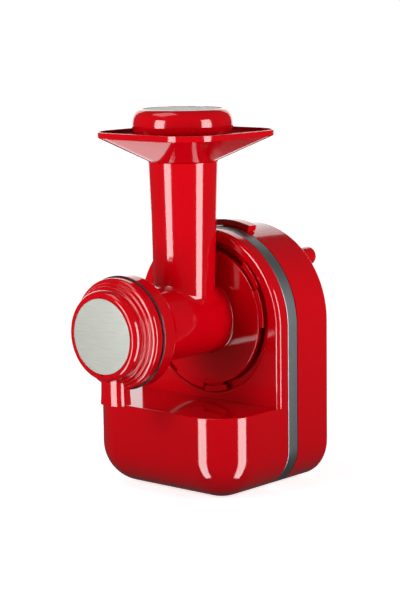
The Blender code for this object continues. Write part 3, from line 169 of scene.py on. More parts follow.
class Colours(bpy.types.PropertyGroup):
    """Surface colours as sRGB hex values."""

    red: paint("Red shell", "CC0010", "Gloss red plastic")
    deep_red: paint("Red shell, deep", "C4000F", "The second tone in the red plastic's faint mottle")
    seal: paint("Seal", "5E2A2E", "Silicone seal")
    steel: paint("Brushed steel", "C6C8C0", "Brushed stainless disc and inlay")
    band: paint("Band", "A4A9AC", "Dark rolled metal of the band")
    graphite: paint("Graphite", "26272A", "Dark textured plastic")
    rubber: paint("Rubber", "161616", "Soft feet")
    nylon: paint("Nylon", "E9E5D8", "Working parts in the barrel")


class DessertMakerSettings(bpy.types.PropertyGroup):
    """Everything that can be changed before the pieces are built."""

    body: bpy.props.PointerProperty(type=BodySizes, name="Body", description="Shells, shelf and band")
    chute: bpy.props.PointerProperty(type=ChuteSizes, name="Chute", description="Barrel, tube and flange")
    cap: bpy.props.PointerProperty(type=CapSizes, name="Cap", description="Front cap and spout")
    top: bpy.props.PointerProperty(type=TopSizes, name="Top", description="Tray and pusher")
    colours: bpy.props.PointerProperty(type=Colours, name="Colours", description="Surface colours")


def settings():
    return bpy.context.scene.dessert_maker


# ---------------------------------------------------------------- handling objects

def select_only(piece):
    bpy.ops.object.select_all(action="DESELECT")
    piece.select_set(True)
    bpy.context.view_layer.objects.active = piece


def started(name):
    """Names the primitive that was just added and puts its place into its mesh."""
    piece = bpy.context.object
    piece.name = name
    piece.data.name = name
    select_only(piece)
    bpy.ops.object.transform_apply(location=True, rotation=True, scale=True)
    return piece


def edit(piece, select="SELECT"):
    select_only(piece)
    bpy.ops.object.mode_set(mode="EDIT")
    bpy.ops.mesh.select_mode(type="EDGE" if select == "EDGES" else "VERT")
    bpy.ops.mesh.select_all(action="DESELECT" if select == "EDGES" else select)


def leave():
    bpy.ops.object.mode_set(mode="OBJECT")


def select_edges(piece, rule):
    """Opens the piece with only those edges selected whose two end vertices pass the rule."""
    edit(piece, "EDGES")
    leave()
    for edge in piece.data.edges:
        edge.select = rule(*(piece.data.vertices[end] for end in edge.vertices))
    bpy.ops.object.mode_set(mode="EDIT")


def round_edges(piece, rule, radius, segments):
    """Rounds the edges whose two ends, given as places, pass the rule."""
    select_edges(piece, lambda a, b: rule(a.co, b.co))
    bpy.ops.mesh.bevel(offset=radius, segments=segments, affect="EDGES", clamp_overlap=False)
    leave()


def weld(piece, distance=SLIVER):
    """Merges points that coincide and turns every face outward."""
    edit(piece)
    bpy.ops.mesh.remove_doubles(threshold=distance)
    bpy.ops.mesh.normals_make_consistent(inside=False)
    leave()


def modify(piece, kind, **values):
    """Adds a modifier and applies it straight away."""
    select_only(piece)
    modifier = piece.modifiers.new(kind.lower(), kind)
    for name, value in values.items():
        setattr(modifier, name, value)
    bpy.ops.object.modifier_apply(modifier=modifier.name)


def combine(piece, operation, tools):
    for tool in tools:
        modify(piece, "BOOLEAN", operation=operation, solver="EXACT", object=tool)
        bpy.data.objects.remove(tool, do_unlink=True)


def cut(piece, *tools):
    combine(piece, "DIFFERENCE", tools)


def join(piece, *tools):
    combine(piece, "UNION", tools)


def place_piece(piece, body, name, *nodes, angle=32.0):
    """Smooths the piece, gives it the named finish and lets it ride in place of its frame nodes."""
    select_only(piece)
    bpy.ops.object.shade_smooth_by_angle(angle=math.radians(angle))
    piece.data.materials.clear()
    piece.data.materials.append(finish(name))
    modify(piece, "WEIGHTED_NORMAL", keep_sharp=True)
    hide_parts(*nodes)
    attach(piece, body)
    return piece


# ---------------------------------------------------------------- drawing solids

def block(name, low, high):
    """A box between two corners."""
    low, high = Vector(low), Vector(high)
    bpy.ops.object.select_all(action="DESELECT")
    bpy.ops.mesh.primitive_cube_add(size=1.0, location=(low + high) / 2, scale=high - low)
    return started(name)


def rounded_block(name, low, high, radius, axis, segments=6):
    """A box whose four edges along one axis are rounded."""
    piece = block(name, low, high)
    others = [index for index in range(3) if index != axis]
    round_edges(
        piece, lambda a, b: all(abs(a[i] - b[i]) < SLIVER for i in others), radius, segments,
    )
    return piece


def on_axis(centre, station, axis):
    return (centre[0], station, centre[1]) if axis == "Y" else (centre[0], centre[1], station)


def turned(name, profile, centre, axis="Y", segments=128):
    """A turned solid: a circle drawn out along the axis, one extrusion for each (radius, station).

    A profile whose ends differ is closed with flat faces, and one that returns to its start is welded.
    """
    bpy.ops.object.select_all(action="DESELECT")
    radius, station = profile[0]
    turn = (math.radians(90), 0.0, 0.0) if axis == "Y" else (0.0, 0.0, 0.0)
    bpy.ops.mesh.primitive_circle_add(
        vertices=segments, radius=radius, location=on_axis(centre, station, axis), rotation=turn,
    )
    piece = started(name)
    edit(piece)
    returns = profile[0] == profile[-1]
    if not returns:
        bpy.ops.mesh.edge_face_add()
        bpy.ops.mesh.select_all(action="SELECT")
        bpy.ops.mesh.extrude_edges_move()
    for index, (following, target) in enumerate(profile[1:]):
        if returns or index:
            bpy.ops.mesh.extrude_edges_move()
        step = on_axis((0.0, 0.0), target - station, axis)
        bpy.ops.transform.translate(value=step)
        share = following / radius
        scale = (share, 1.0, share) if axis == "Y" else (share, share, 1.0)
        bpy.ops.transform.resize(value=scale, center_override=on_axis(centre, target, axis))
        radius, station = following, target
    if not returns:
        bpy.ops.mesh.edge_face_add()
    leave()
    weld(piece, SLIVER / 10)
    return piece


def bored(name, radius, start, end, centre, segments):
    """A plain round cutter along Y."""
    return turned(name, [(radius, start), (radius, end)], centre, segments=segments)


def filleted(corners, steps=6):
    """(radius, station) points through (radius, station, fillet) corners, each corner turned into an arc."""
    points = [corners[0][:2]]
    for before, corner, after in zip(corners, corners[1:], corners[2:]):
        here = Vector(corner[:2])
        if corner[2] == 0.0:
            points.append(tuple(here))
            continue
        back = (Vector(before[:2]) - here)
        ahead = (Vector(after[:2]) - here)
        half = back.angle(ahead) / 2
        reach = min(corner[2] / math.tan(half), back.length * 0.49, ahead.length * 0.49)
        radius = reach * math.tan(half)
        start, end = here + back.normalized() * reach, here + ahead.normalized() * reach
        towards = (back.normalized() + ahead.normalized()).normalized()
        centre = here + towards * radius / math.sin(half)
        first, last = start - centre, end - centre
        turn = first.angle_signed(last)
        for step in range(steps + 1):
            angle = -turn * step / steps
            spun = Vector((
                first.x * math.cos(angle) - first.y * math.sin(angle),
                first.x * math.sin(angle) + first.y * math.cos(angle),
            ))
            points.append(tuple(centre + spun))
    points.append(tuple(corners[-1][:2]))
    return points


def drawn(name, rings, closed=False):
    """A solid drawn from a circle: each ring is extruded and its points are moved into place."""
    count = len(rings[0])
    last = (len(rings) - 1) * count
    bpy.ops.object.select_all(action="DESELECT")
    bpy.ops.mesh.primitive_circle_add(vertices=count, radius=0.01)
    piece = started(name)

    def held(a, b, start):
        return all(start <= end.index < start + count for end in (a, b))

    for start in range(0, last, count):
        select_edges(piece, lambda a, b: min(a.index, b.index) >= start)
        bpy.ops.mesh.extrude_edges_move()
        leave()
    for number, ring in enumerate(rings):
        for index, point in enumerate(ring):
            piece.data.vertices[number * count + index].co = point
    if closed:
        select_edges(piece, lambda a, b: held(a, b, 0) or held(a, b, last))
        bpy.ops.mesh.bridge_edge_loops()
        leave()
    else:
        for start in (0, last):
            select_edges(piece, lambda a, b: held(a, b, start))
            bpy.ops.mesh.edge_face_add()
            leave()
    weld(piece, SLIVER / 10)
    return piece


def corner_arcs(half_x, half_y, corner, steps):
    """The four rounded corners of a rectangle about the origin, each as a list of (x, y)."""
    arcs = []
    for sign_x, sign_y, start in CORNERS:
        angles = [math.radians(start + 90 * step / steps) for step in range(steps + 1)]
        arcs.append([
            (sign_x * (half_x - corner) + corner * math.cos(angle),
             sign_y * (half_y - corner) + corner * math.sin(angle))
            for angle in angles
        ])
    return arcs


def swung(name, low, high, corner, centre, start, sweep, steps):
    """A rounded (radius, y) section carried round part of a circle about an axis along Y."""
    radius = (low[0] + high[0]) / 2
    station = (low[1] + high[1]) / 2
    bpy.ops.object.select_all(action="DESELECT")
    bpy.ops.mesh.primitive_plane_add(size=1.0)
    piece = started(name)
    edit(piece)
    bpy.ops.transform.resize(value=(high[0] - low[0], high[1] - low[1], 1.0), center_override=(0.0, 0.0, 0.0))
    if corner:
        bpy.ops.mesh.bevel(offset=corner, segments=4, affect="VERTICES")
        bpy.ops.mesh.select_all(action="SELECT")
    bpy.ops.transform.translate(value=(centre[0] + radius, station, centre[1]))
    leave()
    piece.data.transform(
        Matrix.Translation((centre[0], 0.0, centre[1]))
        @ Matrix.Rotation(math.radians(-start), 4, "Y")
        @ Matrix.Translation((-centre[0], 0.0, -centre[1]))
    )
    edit(piece)
    bpy.ops.mesh.spin(
        steps=steps, angle=math.radians(sweep), center=(centre[0], 0.0, centre[1]), axis=(0.0, 1.0, 0.0),
    )
    leave()
    weld(piece, SLIVER / 10)
    return piece


# ---------------------------------------------------------------- forms of the body

def arch_solid(name, front, back, inset=0.0):
    """The body's outline as a solid: an arch on a base with rounded lower edges."""
    half, bottom, top = BODY_HALF - inset, BODY_BOTTOM + inset, BODY_TOP - inset
    piece = block(name, (-half, front, bottom), (half, back, top))

    def lengthwise(a, b):
        return abs(a.x - b.x) < SLIVER and abs(a.z - b.z) < SLIVER

    lower = settings().body.corner_radius - inset
    round_edges(piece, lambda a, b: lengthwise(a, b) and a.z > top - SLIVER, half - SLIVER, 48)
    round_edges(piece, lambda a, b: lengthwise(a, b) and a.z < bottom + SLIVER, lower, 18)
    weld(piece, SLIVER * 3)
    return piece


def shelf_solid(name, back, inset=0.0):
    """The shelf as a solid with ball corners at its lower front."""
    sizes = settings().body
    front = SHELL_LOW.y + inset
    bottom, top = BODY_BOTTOM + inset, BODY_BOTTOM + sizes.shelf_height - inset
    half = BODY_HALF - inset
    piece = block(name, (-half, front, bottom), (half, back, top))

    def rounded(a, b):
        upright = abs(a.z - b.z) > SLIVER and a.y < front + SLIVER
        low_front = a.z < bottom + SLIVER and b.z < bottom + SLIVER and max(a.y, b.y) < front + SLIVER
        low_side = a.z < bottom + SLIVER and abs(a.y - b.y) > SLIVER and b.z < bottom + SLIVER
        return upright or low_front or low_side

    round_edges(piece, rounded, sizes.corner_radius - inset, 18)
    return piece


def face_y():
    return SHELL_LOW.y + settings().body.shelf_depth


# ---------------------------------------------------------------- materials

def linear(hex_colour):
    """An sRGB hex colour as linear RGBA."""
    values = []
    for start in (0, 2, 4):
        share = int(hex_colour[start:start + 2], 16) / 255
        values.append(share / 12.92 if share <= 0.04045 else ((share + 0.055) / 1.055) ** 2.4)
    return (*values, 1.0)


def add_node(tree, kind, values=None, links=None):
    """Adds a node, sets its inputs or settings by name, and links sockets into it."""
    node = tree.nodes.new(kind)
    for name, value in (values or {}).items():
        if isinstance(name, int) or name in node.inputs:
            node.inputs[name].default_value = value
        else:
            setattr(node, name, value)
    for name, socket in (links or {}).items():
        tree.links.new(socket, node.inputs[name])
    return node


def per_mm(size):
    """The scale at which a noise feature is that many millimetres across, on coordinates in metres."""
    return 1000.0 / size


def begin_material(name, **values):
    """A new material with a Principled shader whose plain values are set on its own sockets."""
    material = bpy.data.materials.new(name)
    material.use_nodes = True
    tree = material.node_tree
    shader = tree.nodes["Principled BSDF"]
    for key, value in values.items():
        shader.inputs[key.replace("_", " ")].default_value = value
    place = add_node(tree, "ShaderNodeTexCoord").outputs["Object"]
    return material, tree, shader, place


def mottle(tree, shader, place, first, second, size):
    """Mixes two close tones in soft patches of that size in millimetres."""
    patches = add_node(tree, "ShaderNodeTexNoise", {"Scale": per_mm(size), "Detail": 3.0}, {"Vector": place})
    tones = add_node(
        tree, "ShaderNodeMix", {"data_type": "RGBA", 6: first, 7: second},
        {0: patches.outputs["Fac"]},
    )
    tree.links.new(tones.outputs[2], shader.inputs["Base Color"])


def roughen(tree, shader, source, low, high):
    """Lets a pattern move the roughness between two values."""
    spread = add_node(
        tree, "ShaderNodeMapRange", {"To Min": low, "To Max": high}, {"Value": source},
    )
    tree.links.new(spread.outputs["Result"], shader.inputs["Roughness"])


def emboss(tree, shader, source, depth, strength=1.0):
    """Raises the surface by a pattern, to that depth in millimetres."""
    bump = add_node(
        tree, "ShaderNodeBump", {"Strength": strength, "Distance": depth / 1000.0}, {"Height": source},
    )
    tree.links.new(bump.outputs["Normal"], shader.inputs["Normal"])


def gloss_plastic(name, first, second):
    """High-gloss injection-moulded ABS: a mirror-like skin with the slow ripple that moulding leaves."""
    material, tree, shader, place = begin_material(name, IOR=1.53, Coat_Weight=0.25, Coat_Roughness=0.03)
    mottle(tree, shader, place, linear(first), linear(second), 14.0)
    ripple = add_node(tree, "ShaderNodeTexNoise", {"Scale": per_mm(5.0), "Detail": 1.0}, {"Vector": place})
    fine = add_node(tree, "ShaderNodeTexNoise", {"Scale": per_mm(1.2), "Detail": 2.0}, {"Vector": place})
    roughen(tree, shader, fine.outputs["Fac"], 0.06, 0.13)
    emboss(tree, shader, ripple.outputs["Fac"], 0.012, 0.6)
    return material


def textured_plastic(name, colour, low, high, grain=0.5):
    """Moulded plastic with a spark-eroded grain, which breaks up its highlights."""
    material, tree, shader, place = begin_material(name, IOR=1.5)
    tone = linear(colour)
    mottle(tree, shader, place, tone, tuple(0.82 * value for value in tone[:3]) + (1.0,), 9.0)
    grains = add_node(tree, "ShaderNodeTexNoise", {"Scale": per_mm(grain), "Detail": 4.0}, {"Vector": place})
    roughen(tree, shader, grains.outputs["Fac"], low, high)
    emboss(tree, shader, grains.outputs["Fac"], 0.03)
    return material


def streaked_metal(name, colour, low, high, stretch, streak=0.35, shade=0.7, depth=0.006):
    """Metal with fine parallel scratches; stretch holds how much each axis is drawn out along them."""
    material, tree, shader, place = begin_material(name, Metallic=1.0)
    drawn_out = add_node(tree, "ShaderNodeMapping", {"Scale": stretch}, {"Vector": place})
    streaks = add_node(
        tree, "ShaderNodeTexNoise", {"Scale": per_mm(streak), "Detail": 5.0, "Roughness": 0.65},
        {"Vector": drawn_out.outputs["Vector"]},
    )
    tone = linear(colour)
    dark = tuple(shade * value for value in tone[:3]) + (1.0,)
    sharper = add_node(
        tree, "ShaderNodeMapRange", {"From Min": 0.3, "From Max": 0.7}, {"Value": streaks.outputs["Fac"]},
    )
    tones = add_node(
        tree, "ShaderNodeMix", {"data_type": "RGBA", 6: dark, 7: tone}, {0: sharper.outputs["Result"]},
    )
    tree.links.new(tones.outputs[2], shader.inputs["Base Color"])
    roughen(tree, shader, streaks.outputs["Fac"], low, high)
    emboss(tree, shader, streaks.outputs["Fac"], depth)
    return material


def plain_metal(name, colour, low, high, grain=1.0, depth=0.004):
    """Machined, plated or sintered metal with an even fine grain."""
    return streaked_metal(name, colour, low, high, (1.0, 1.0, 1.0), grain, 0.85, depth)


def silicone(name, colour):
    """Moulded silicone rubber: soft, slightly see-through and with a satin skin."""
    material, tree, shader, place = begin_material(
        name, IOR=1.41, Transmission_Weight=0.25, Subsurface_Weight=0.1, Subsurface_Scale=0.002,
    )
    tone = linear(colour)
    mottle(tree, shader, place, tone, tuple(0.8 * value for value in tone[:3]) + (1.0,), 6.0)
    fine = add_node(tree, "ShaderNodeTexNoise", {"Scale": per_mm(0.8), "Detail": 2.0}, {"Vector": place})
    roughen(tree, shader, fine.outputs["Fac"], 0.22, 0.34)
    emboss(tree, shader, fine.outputs["Fac"], 0.01)
    return material


FINISHES = {}


def finish(name):
    """The named material, made the first time that it is asked for."""
    if name not in FINISHES:
        colours = settings().colours
        makers = {
            # Gloss ABS, injection moulded: deep red under a mirror skin.
            "gloss red ABS": lambda: gloss_plastic("gloss red ABS", colours.red, colours.deep_red),
            # Silicone, compression moulded: a dark satin line between cap and collar.
            "silicone seal": lambda: silicone("silicone seal", colours.seal),
            # Stainless sheet, belt ground one way: fine level streaks, drawn 0.35 mm so that they show.
            "brushed stainless": lambda: streaked_metal(
                "brushed stainless", colours.steel, 0.44, 0.58, (0.02, 1.0, 1.0), shade=0.72),
            # Bright-rolled dark strip: faint lines along its length, which runs across Y.
            "rolled dark strip": lambda: streaked_metal(
                "rolled dark strip", colours.band, 0.40, 0.48, (0.05, 1.0, 0.05), shade=0.8, depth=0.003),
            # ABS with a spark-eroded grain: dull dark fittings.
            "grained graphite ABS": lambda: textured_plastic(
                "grained graphite ABS", colours.graphite, 0.35, 0.55),
            # Natural rubber, moulded: dull black.
            "moulded rubber": lambda: textured_plastic("moulded rubber", colours.rubber, 0.7, 0.9, 0.8),
            # Nylon, injection moulded: waxy off-white.
            "satin nylon": lambda: textured_plastic("satin nylon", colours.nylon, 0.32, 0.45, 1.2),
            # Zinc-plated steel: cool grey with a soft sheen.
            "zinc-plated steel": lambda: plain_metal("zinc-plated steel", "B9BEC2", 0.25, 0.38, 1.5),
            # Ground silver steel: bright, with lines round the turning axis drawn across Y.
            "ground steel": lambda: streaked_metal(
                "ground steel", "C9CCCE", 0.14, 0.24, (0.2, 1.0, 0.2), shade=0.85),
            # Stacked laminations: dark sheets 0.5 mm thick, edge on along Y.
            "stacked laminations": lambda: streaked_metal(
                "stacked laminations", "4B4E52", 0.35, 0.5, (0.05, 1.0, 0.05), 0.5, 0.5, 0.05),
            # Sintered bronze: a porous warm yellow.
            "sintered bronze": lambda: plain_metal("sintered bronze", "B98B4E", 0.34, 0.5, 0.5, 0.02),
            # Enamelled copper wire, wound along Y in turns of about 0.6 mm.
            "wound copper": lambda: streaked_metal(
                "wound copper", "B4683A", 0.25, 0.4, (1.0, 0.1, 1.0), 0.6, 0.45, 0.08),
        }
        FINISHES[name] = makers[name]()
    return FINISHES[name]


# ---------------------------------------------------------------- operators

MOUTH_ROUND = 0.0012
CORE_RADIUS = 0.012
SPINDLE_HOLE = 0.0096
SPINDLE_WAY = 0.0066
PIN_HOLE = 0.0026
PIN_RADIUS = 0.002
HATCH_LEDGE = 0.003
VENT_COUNT = 7
VENT_START = 0.091
VENT_PITCH = 0.011
VENT_HALF = 0.026
VENT_HEIGHT = 0.004
VENT_ROUND = 0.0019
INLET_HOLE = 0.0063
SCREW_SHANK_HOLE = 0.0023
SCREW_HEAD_HOLE = 0.0041
SCREW_FLOOR = BACK_Y - 0.00175
DRIVE_LONG = 0.0021
DRIVE_WIDE = 0.0005
STEM_HALF = 0.004
STEM_INSET = 0.0018
STEM_DEPTH = 0.004
TAB_HALF_ANGLE = 15.5
TAB_END_ANGLE = 16.4
TAB_END_SWEEP = 3.4
FRONT_BOW = 0.0028
SIDE_WAIST = 0.0016
UNDER_KNOB = 0.0125
PUSHER_STEM = 0.110


def latch_stem():
    """The corners of the stem that carries the release tab's pin through the shell."""
    return (
        Vector((-STEM_HALF, LATCH_FRONT + STEM_INSET, PIN_AXIS[1] - 0.0023)),
        Vector((STEM_HALF, LATCH_FRONT + STEM_INSET + STEM_DEPTH, BODY_TOP + 0.003)),
    )


class MakerOperator:
    """What every operator here shares."""

    bl_options = {"REGISTER"}

    def execute(self, context):
        self.build()
        return {"FINISHED"}


class DESSERT_OT_front_shell(MakerOperator, bpy.types.Operator):
    """Build the red front shell with its shelf, its lip and the recess for the chute"""

    bl_idname = "dessert.front_shell"
    bl_label = "Front Shell"

    def build(self):
        sizes = settings().body
        face, band_front = face_y(), BAND_LOW.y - JOIN_GAP
        piece = arch_solid("front_shell", face, band_front)
        round_edges(piece, lambda a, b: max(a.y, b.y) < face + SLIVER, sizes.face_fillet, 8)
        shelf = shelf_solid("shelf", face + 2 * sizes.face_fillet)
        top = BODY_BOTTOM + sizes.shelf_height

        def top_edge(a, b):
            level = min(a.z, b.z) > top - SLIVER
            return level and min(a.y, b.y) < face + sizes.face_fillet and abs(a.x) + abs(b.x) > SLIVER

        back = face + 2 * sizes.face_fillet - SLIVER
        round_edges(shelf, lambda a, b: top_edge(a, b) and min(a.y, b.y) < back, sizes.shelf_edge, 3)
        lip = arch_solid("lip", band_front - sizes.wall / 2, SHELL_HIGH.y, sizes.lip)
        join(piece, shelf, lip)
        inner_end = SHELL_HIGH.y + sizes.wall
        cut(
            piece,
            arch_solid("upper_cavity", face + sizes.wall, inner_end, sizes.wall),
            shelf_solid("lower_cavity", inner_end, sizes.wall),
        )
        floor = face + sizes.recess_depth
        cup_radius = sizes.recess_radius + sizes.wall
        join(piece, bored("cup", cup_radius, face + sizes.wall / 2, floor + sizes.wall, BARREL, 128))
        flared = sizes.recess_radius + 0.004
        mouth = filleted([
            (flared, face - 0.006, 0.0),
            (flared, face - MOUTH_ROUND, 0.0),
            (sizes.recess_radius, face + 0.0016, MOUTH_ROUND),
            (sizes.recess_radius, floor, MOUTH_ROUND),
            (CORE_RADIUS, floor, 0.0),
        ])
        cut(
            piece,
            turned("recess", mouth, BARREL),
            bored("spindle_hole", SPINDLE_HOLE, face, inner_end, BARREL, 48),
            bored("pin_hole", PIN_HOLE, face, inner_end, PIN_AXIS, 24),
        )
        low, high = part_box("base_cover")
        gap = Vector((JOIN_GAP, JOIN_GAP, JOIN_GAP))
        ledge = Vector((HATCH_LEDGE, HATCH_LEDGE, 0.0))
        deep = Vector((0.0, 0.0, sizes.wall))
        cut(
            piece,
            block("hatch", low - gap - deep, high + gap),
            block("hatch_way", low + ledge, high - ledge + deep),
        )
        weld(piece, SLIVER / 4)
        place_piece(piece, "base", "gloss red ABS", "front_casing")


class DESSERT_OT_rear_shell(MakerOperator, bpy.types.Operator):
    """Build the red rear shell with its vents and the openings for latch, switch, lead and screws"""

    bl_idname = "dessert.rear_shell"
    bl_label = "Rear Shell"

    def build(self):
        sizes = settings().body
        start = BAND_HIGH.y + JOIN_GAP
        piece = arch_solid("rear_shell", start, BACK_Y)
        round_edges(piece, lambda a, b: min(a.y, b.y) > BACK_Y - SLIVER, sizes.back_fillet, 6)
        join(piece, arch_solid("rear_lip", REAR_LOW.y, start + sizes.wall / 2, sizes.lip))
        cut(piece, arch_solid("rear_cavity", REAR_LOW.y - sizes.wall, BACK_Y - sizes.wall, sizes.wall))
        inside, outside = BACK_Y - 2 * sizes.wall, BACK_Y + sizes.wall
        tools = []
        for number in range(VENT_COUNT):
            low = BODY_BOTTOM + VENT_START + number * VENT_PITCH
            corners = (-VENT_HALF, inside, low), (VENT_HALF, outside, low + VENT_HEIGHT)
            tools.append(rounded_block(f"vent_{number}", *corners, VENT_ROUND, 1))
        bezel_low, bezel_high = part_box("switch_bezel")
        tools.append(block(
            "switch_way",
            (bezel_low.x - JOIN_GAP, inside, bezel_low.z - JOIN_GAP),
            (bezel_high.x + JOIN_GAP, outside, bezel_high.z + JOIN_GAP),
        ))
        tools.append(bored("inlet_way", INLET_HOLE, inside, outside, (0.0, middle("cord_inlet").z), 40))
        for number in range(1, 5):
            screw = middle(f"casing_screw_{number}")
            way = [
                (SCREW_SHANK_HOLE, inside), (SCREW_SHANK_HOLE, SCREW_FLOOR),
                (SCREW_HEAD_HOLE, SCREW_FLOOR), (SCREW_HEAD_HOLE + 0.0005, outside),
            ]
            tools.append(turned(f"screw_way_{number}", way, (screw.x, screw.z), segments=32))
        stem_low, stem_high = latch_stem()
        tools.append(rounded_block(
            "latch_way",
            (stem_low.x - JOIN_GAP, stem_low.y - JOIN_GAP, BODY_TOP - 3 * sizes.wall),
            (stem_high.x + JOIN_GAP, stem_high.y + LATCH_TRAVEL + JOIN_GAP, BODY_TOP + sizes.wall),
            0.001, 2,
        ))
        cut(piece, *tools)
        weld(piece)
        place_piece(piece, "base", "gloss red ABS", "rear_casing")


class DESSERT_OT_trim_band(MakerOperator, bpy.types.Operator):
    """Build the dark metal band between the shells, with a bright bevel along each edge"""

    bl_idname = "dessert.trim_band"
    bl_label = "Metal Band"

    def build(self):
        sizes = settings().body
        start, end = BAND_LOW.y, BAND_HIGH.y
        piece = arch_solid("metal_band", start, end)

        def end_edge(a, b):
            return max(a.y, b.y) < start + SLIVER or min(a.y, b.y) > end - SLIVER

        round_edges(piece, end_edge, sizes.band_edge, 5)
        reach = sizes.wall
        cut(piece, arch_solid("band_inside", start - reach, end + reach, sizes.band_thickness))
        weld(piece)
        place_piece(piece, "base", "rolled dark strip", "trim_band")


class DESSERT_OT_back_fittings(MakerOperator, bpy.types.Operator):
    """Build the pegs, the screws and the lead bush on the back, and the feet"""

    bl_idname = "dessert.back_fittings"
    bl_label = "Pegs, Screws and Feet"

    def peg(self, number):
        node = f"cord_post_{number}"
        low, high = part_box(node)
        radius = (high.x - low.x) / 2
        profile = filleted([
            (radius, low.y, 0.0), (radius * 0.985, high.y, radius * 0.62), (0.0012, high.y, 0.0),
        ], 10)
        piece = turned(f"peg_{number}", profile, footprint(node), segments=48)
        place_piece(piece, "base", "gloss red ABS", node)

    def screw(self, number):
        """A pan-head screw with a cross drive."""
        node = f"casing_screw_{number}"
        low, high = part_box(node)
        centre = footprint(node)
        shoulder = SCREW_FLOOR + JOIN_GAP
        profile = filleted([
            (0.0012, low.y, 0.0), (0.002, low.y + 0.0015, 0.0), (0.002, shoulder, 0.0),
            (0.0038, shoulder, 0.0003), (0.0034, high.y, 0.0012), (0.0008, high.y, 0.0),
        ])
        piece = turned(f"screw_{number}", profile, centre, segments=32)
        for long_x, long_z in ((DRIVE_LONG, DRIVE_WIDE), (DRIVE_WIDE, DRIVE_LONG)):
            cut(piece, block(
                "drive",
                (centre[0] - long_x, high.y - 0.0008, centre[1] - long_z),
                (centre[0] + long_x, high.y + 0.001, centre[1] + long_z),
            ))
        place_piece(piece, "base", "zinc-plated steel", node)

    def lead_bush(self):
        """The strain relief: a flange and three ridges that taper outward."""
        low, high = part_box("cord_inlet")
        bore, plug, flange = 0.003, 0.006, 0.008
        profile = [(bore, low.y), (plug, low.y), (plug, BACK_Y + JOIN_GAP), (flange, BACK_Y + JOIN_GAP)]
        profile += [(flange, BACK_Y + 0.0012), (0.0076, BACK_Y + 0.0018), (0.0066, BACK_Y + 0.0022)]
        for ridge in range(3):
            station = BACK_Y + 0.0030 + ridge * 0.0020
            radius = 0.0062 - ridge * 0.0006
            profile += [(radius, station), (radius, station + 0.0009), (radius - 0.0009, station + 0.0012)]
            profile += [(radius - 0.0009, station + 0.0018)]
        profile += [(0.0042, high.y), (bore, high.y), (bore, low.y)]
        piece = turned("lead_bush", profile, (0.0, (low.z + high.z) / 2), segments=48)
        place_piece(piece, "base", "grained graphite ABS", "cord_inlet")

    def foot(self, number):
        node = f"rubber_foot_{number}"
        low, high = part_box(node)
        radius = (high.x - low.x) / 2
        profile = filleted([
            (radius * 0.5, 0.0005, 0.0), (radius * 0.55, 0.0, 0.0), (radius * 0.93, 0.0, 0.0006),
            (radius, high.z * 0.45, 0.0005), (radius, high.z, 0.0),
        ])
        piece = turned(f"foot_{number}", profile, footprint(node, "Z"), "Z", segments=48)
        place_piece(piece, "base", "moulded rubber", node)

    def build(self):
        four = range(1, 5)
        for number in four:
            self.peg(number)
        for number in four:
            self.screw(number)
        self.lead_bush()
        for number in four:
            self.foot(number)


class DESSERT_OT_release_tab(MakerOperator, bpy.types.Operator):
    """Build the curved release tab on top of the arch, with its stem and locking pin"""

    bl_idname = "dessert.release_tab"
    bl_label = "Release Tab"

    def build(self):
        inner = BODY_HALF + JOIN_GAP
        outer = LATCH_HIGH.z - ARCH[1]
        low, high = (inner, LATCH_FRONT), (outer, LATCH_HIGH.y)
        piece = swung("release_tab", low, high, 0.0011, ARCH, 90.0 - TAB_HALF_ANGLE, 2 * TAB_HALF_ANGLE, 28)
        low, high = (inner, LATCH_FRONT - SLIVER), (outer + SLIVER, LATCH_HIGH.y - 0.0005)
        for side in (-1, 1):
            start = 90.0 + side * TAB_END_ANGLE - TAB_END_SWEEP / 2
            join(piece, swung("tab_end", low, high, 0.0014, ARCH, start, TAB_END_SWEEP, 4))
        join(piece, block("stem", *latch_stem()))
        pin = [(0.0014, LATCH_LOW.y), (PIN_RADIUS, LATCH_LOW.y + 0.0008), (PIN_RADIUS, LATCH_FRONT + 0.003)]
        join(piece, turned("pin", pin, PIN_AXIS, segments=24))
        weld(piece, SLIVER / 4)
        place_piece(piece, "release", "gloss red ABS", "release_slider")


class DESSERT_OT_bayonet_ring(MakerOperator, bpy.types.Operator):
    """Build the ring in the recess, whose hooked tabs hold the chute"""

    bl_idname = "dessert.bayonet_ring"
    bl_label = "Bayonet Ring"

    def build(self):
        outer = RING_HIGH.x
        inner = settings().chute.flange_radius + 0.002
        base = 0.03115
        profile = [(outer, base), (outer, RING_HIGH.y), (inner, RING_HIGH.y), (inner, base), (outer, base)]
        piece = turned("socket_ring", profile, BARREL)
        tab_rear = 0.02745
        for number in range(3):
            start = 27.5 + number * 120.0
            reach = outer - JOIN_GAP
            tab = swung("tab", (inner, RING_LOW.y), (reach, tab_rear), 0.0004, BARREL, start, 22.0, 14)
            low, high = (0.0701, tab_rear - 0.001), (reach - 0.0002, base + 0.001)
            post = swung("post", low, high, 0.0, BARREL, start + 0.4, 21.2, 14)
            join(tab, post)
            join(piece, tab)
        weld(piece, SLIVER / 4)
        place_piece(piece, "base", "gloss red ABS", "bayonet_ring")


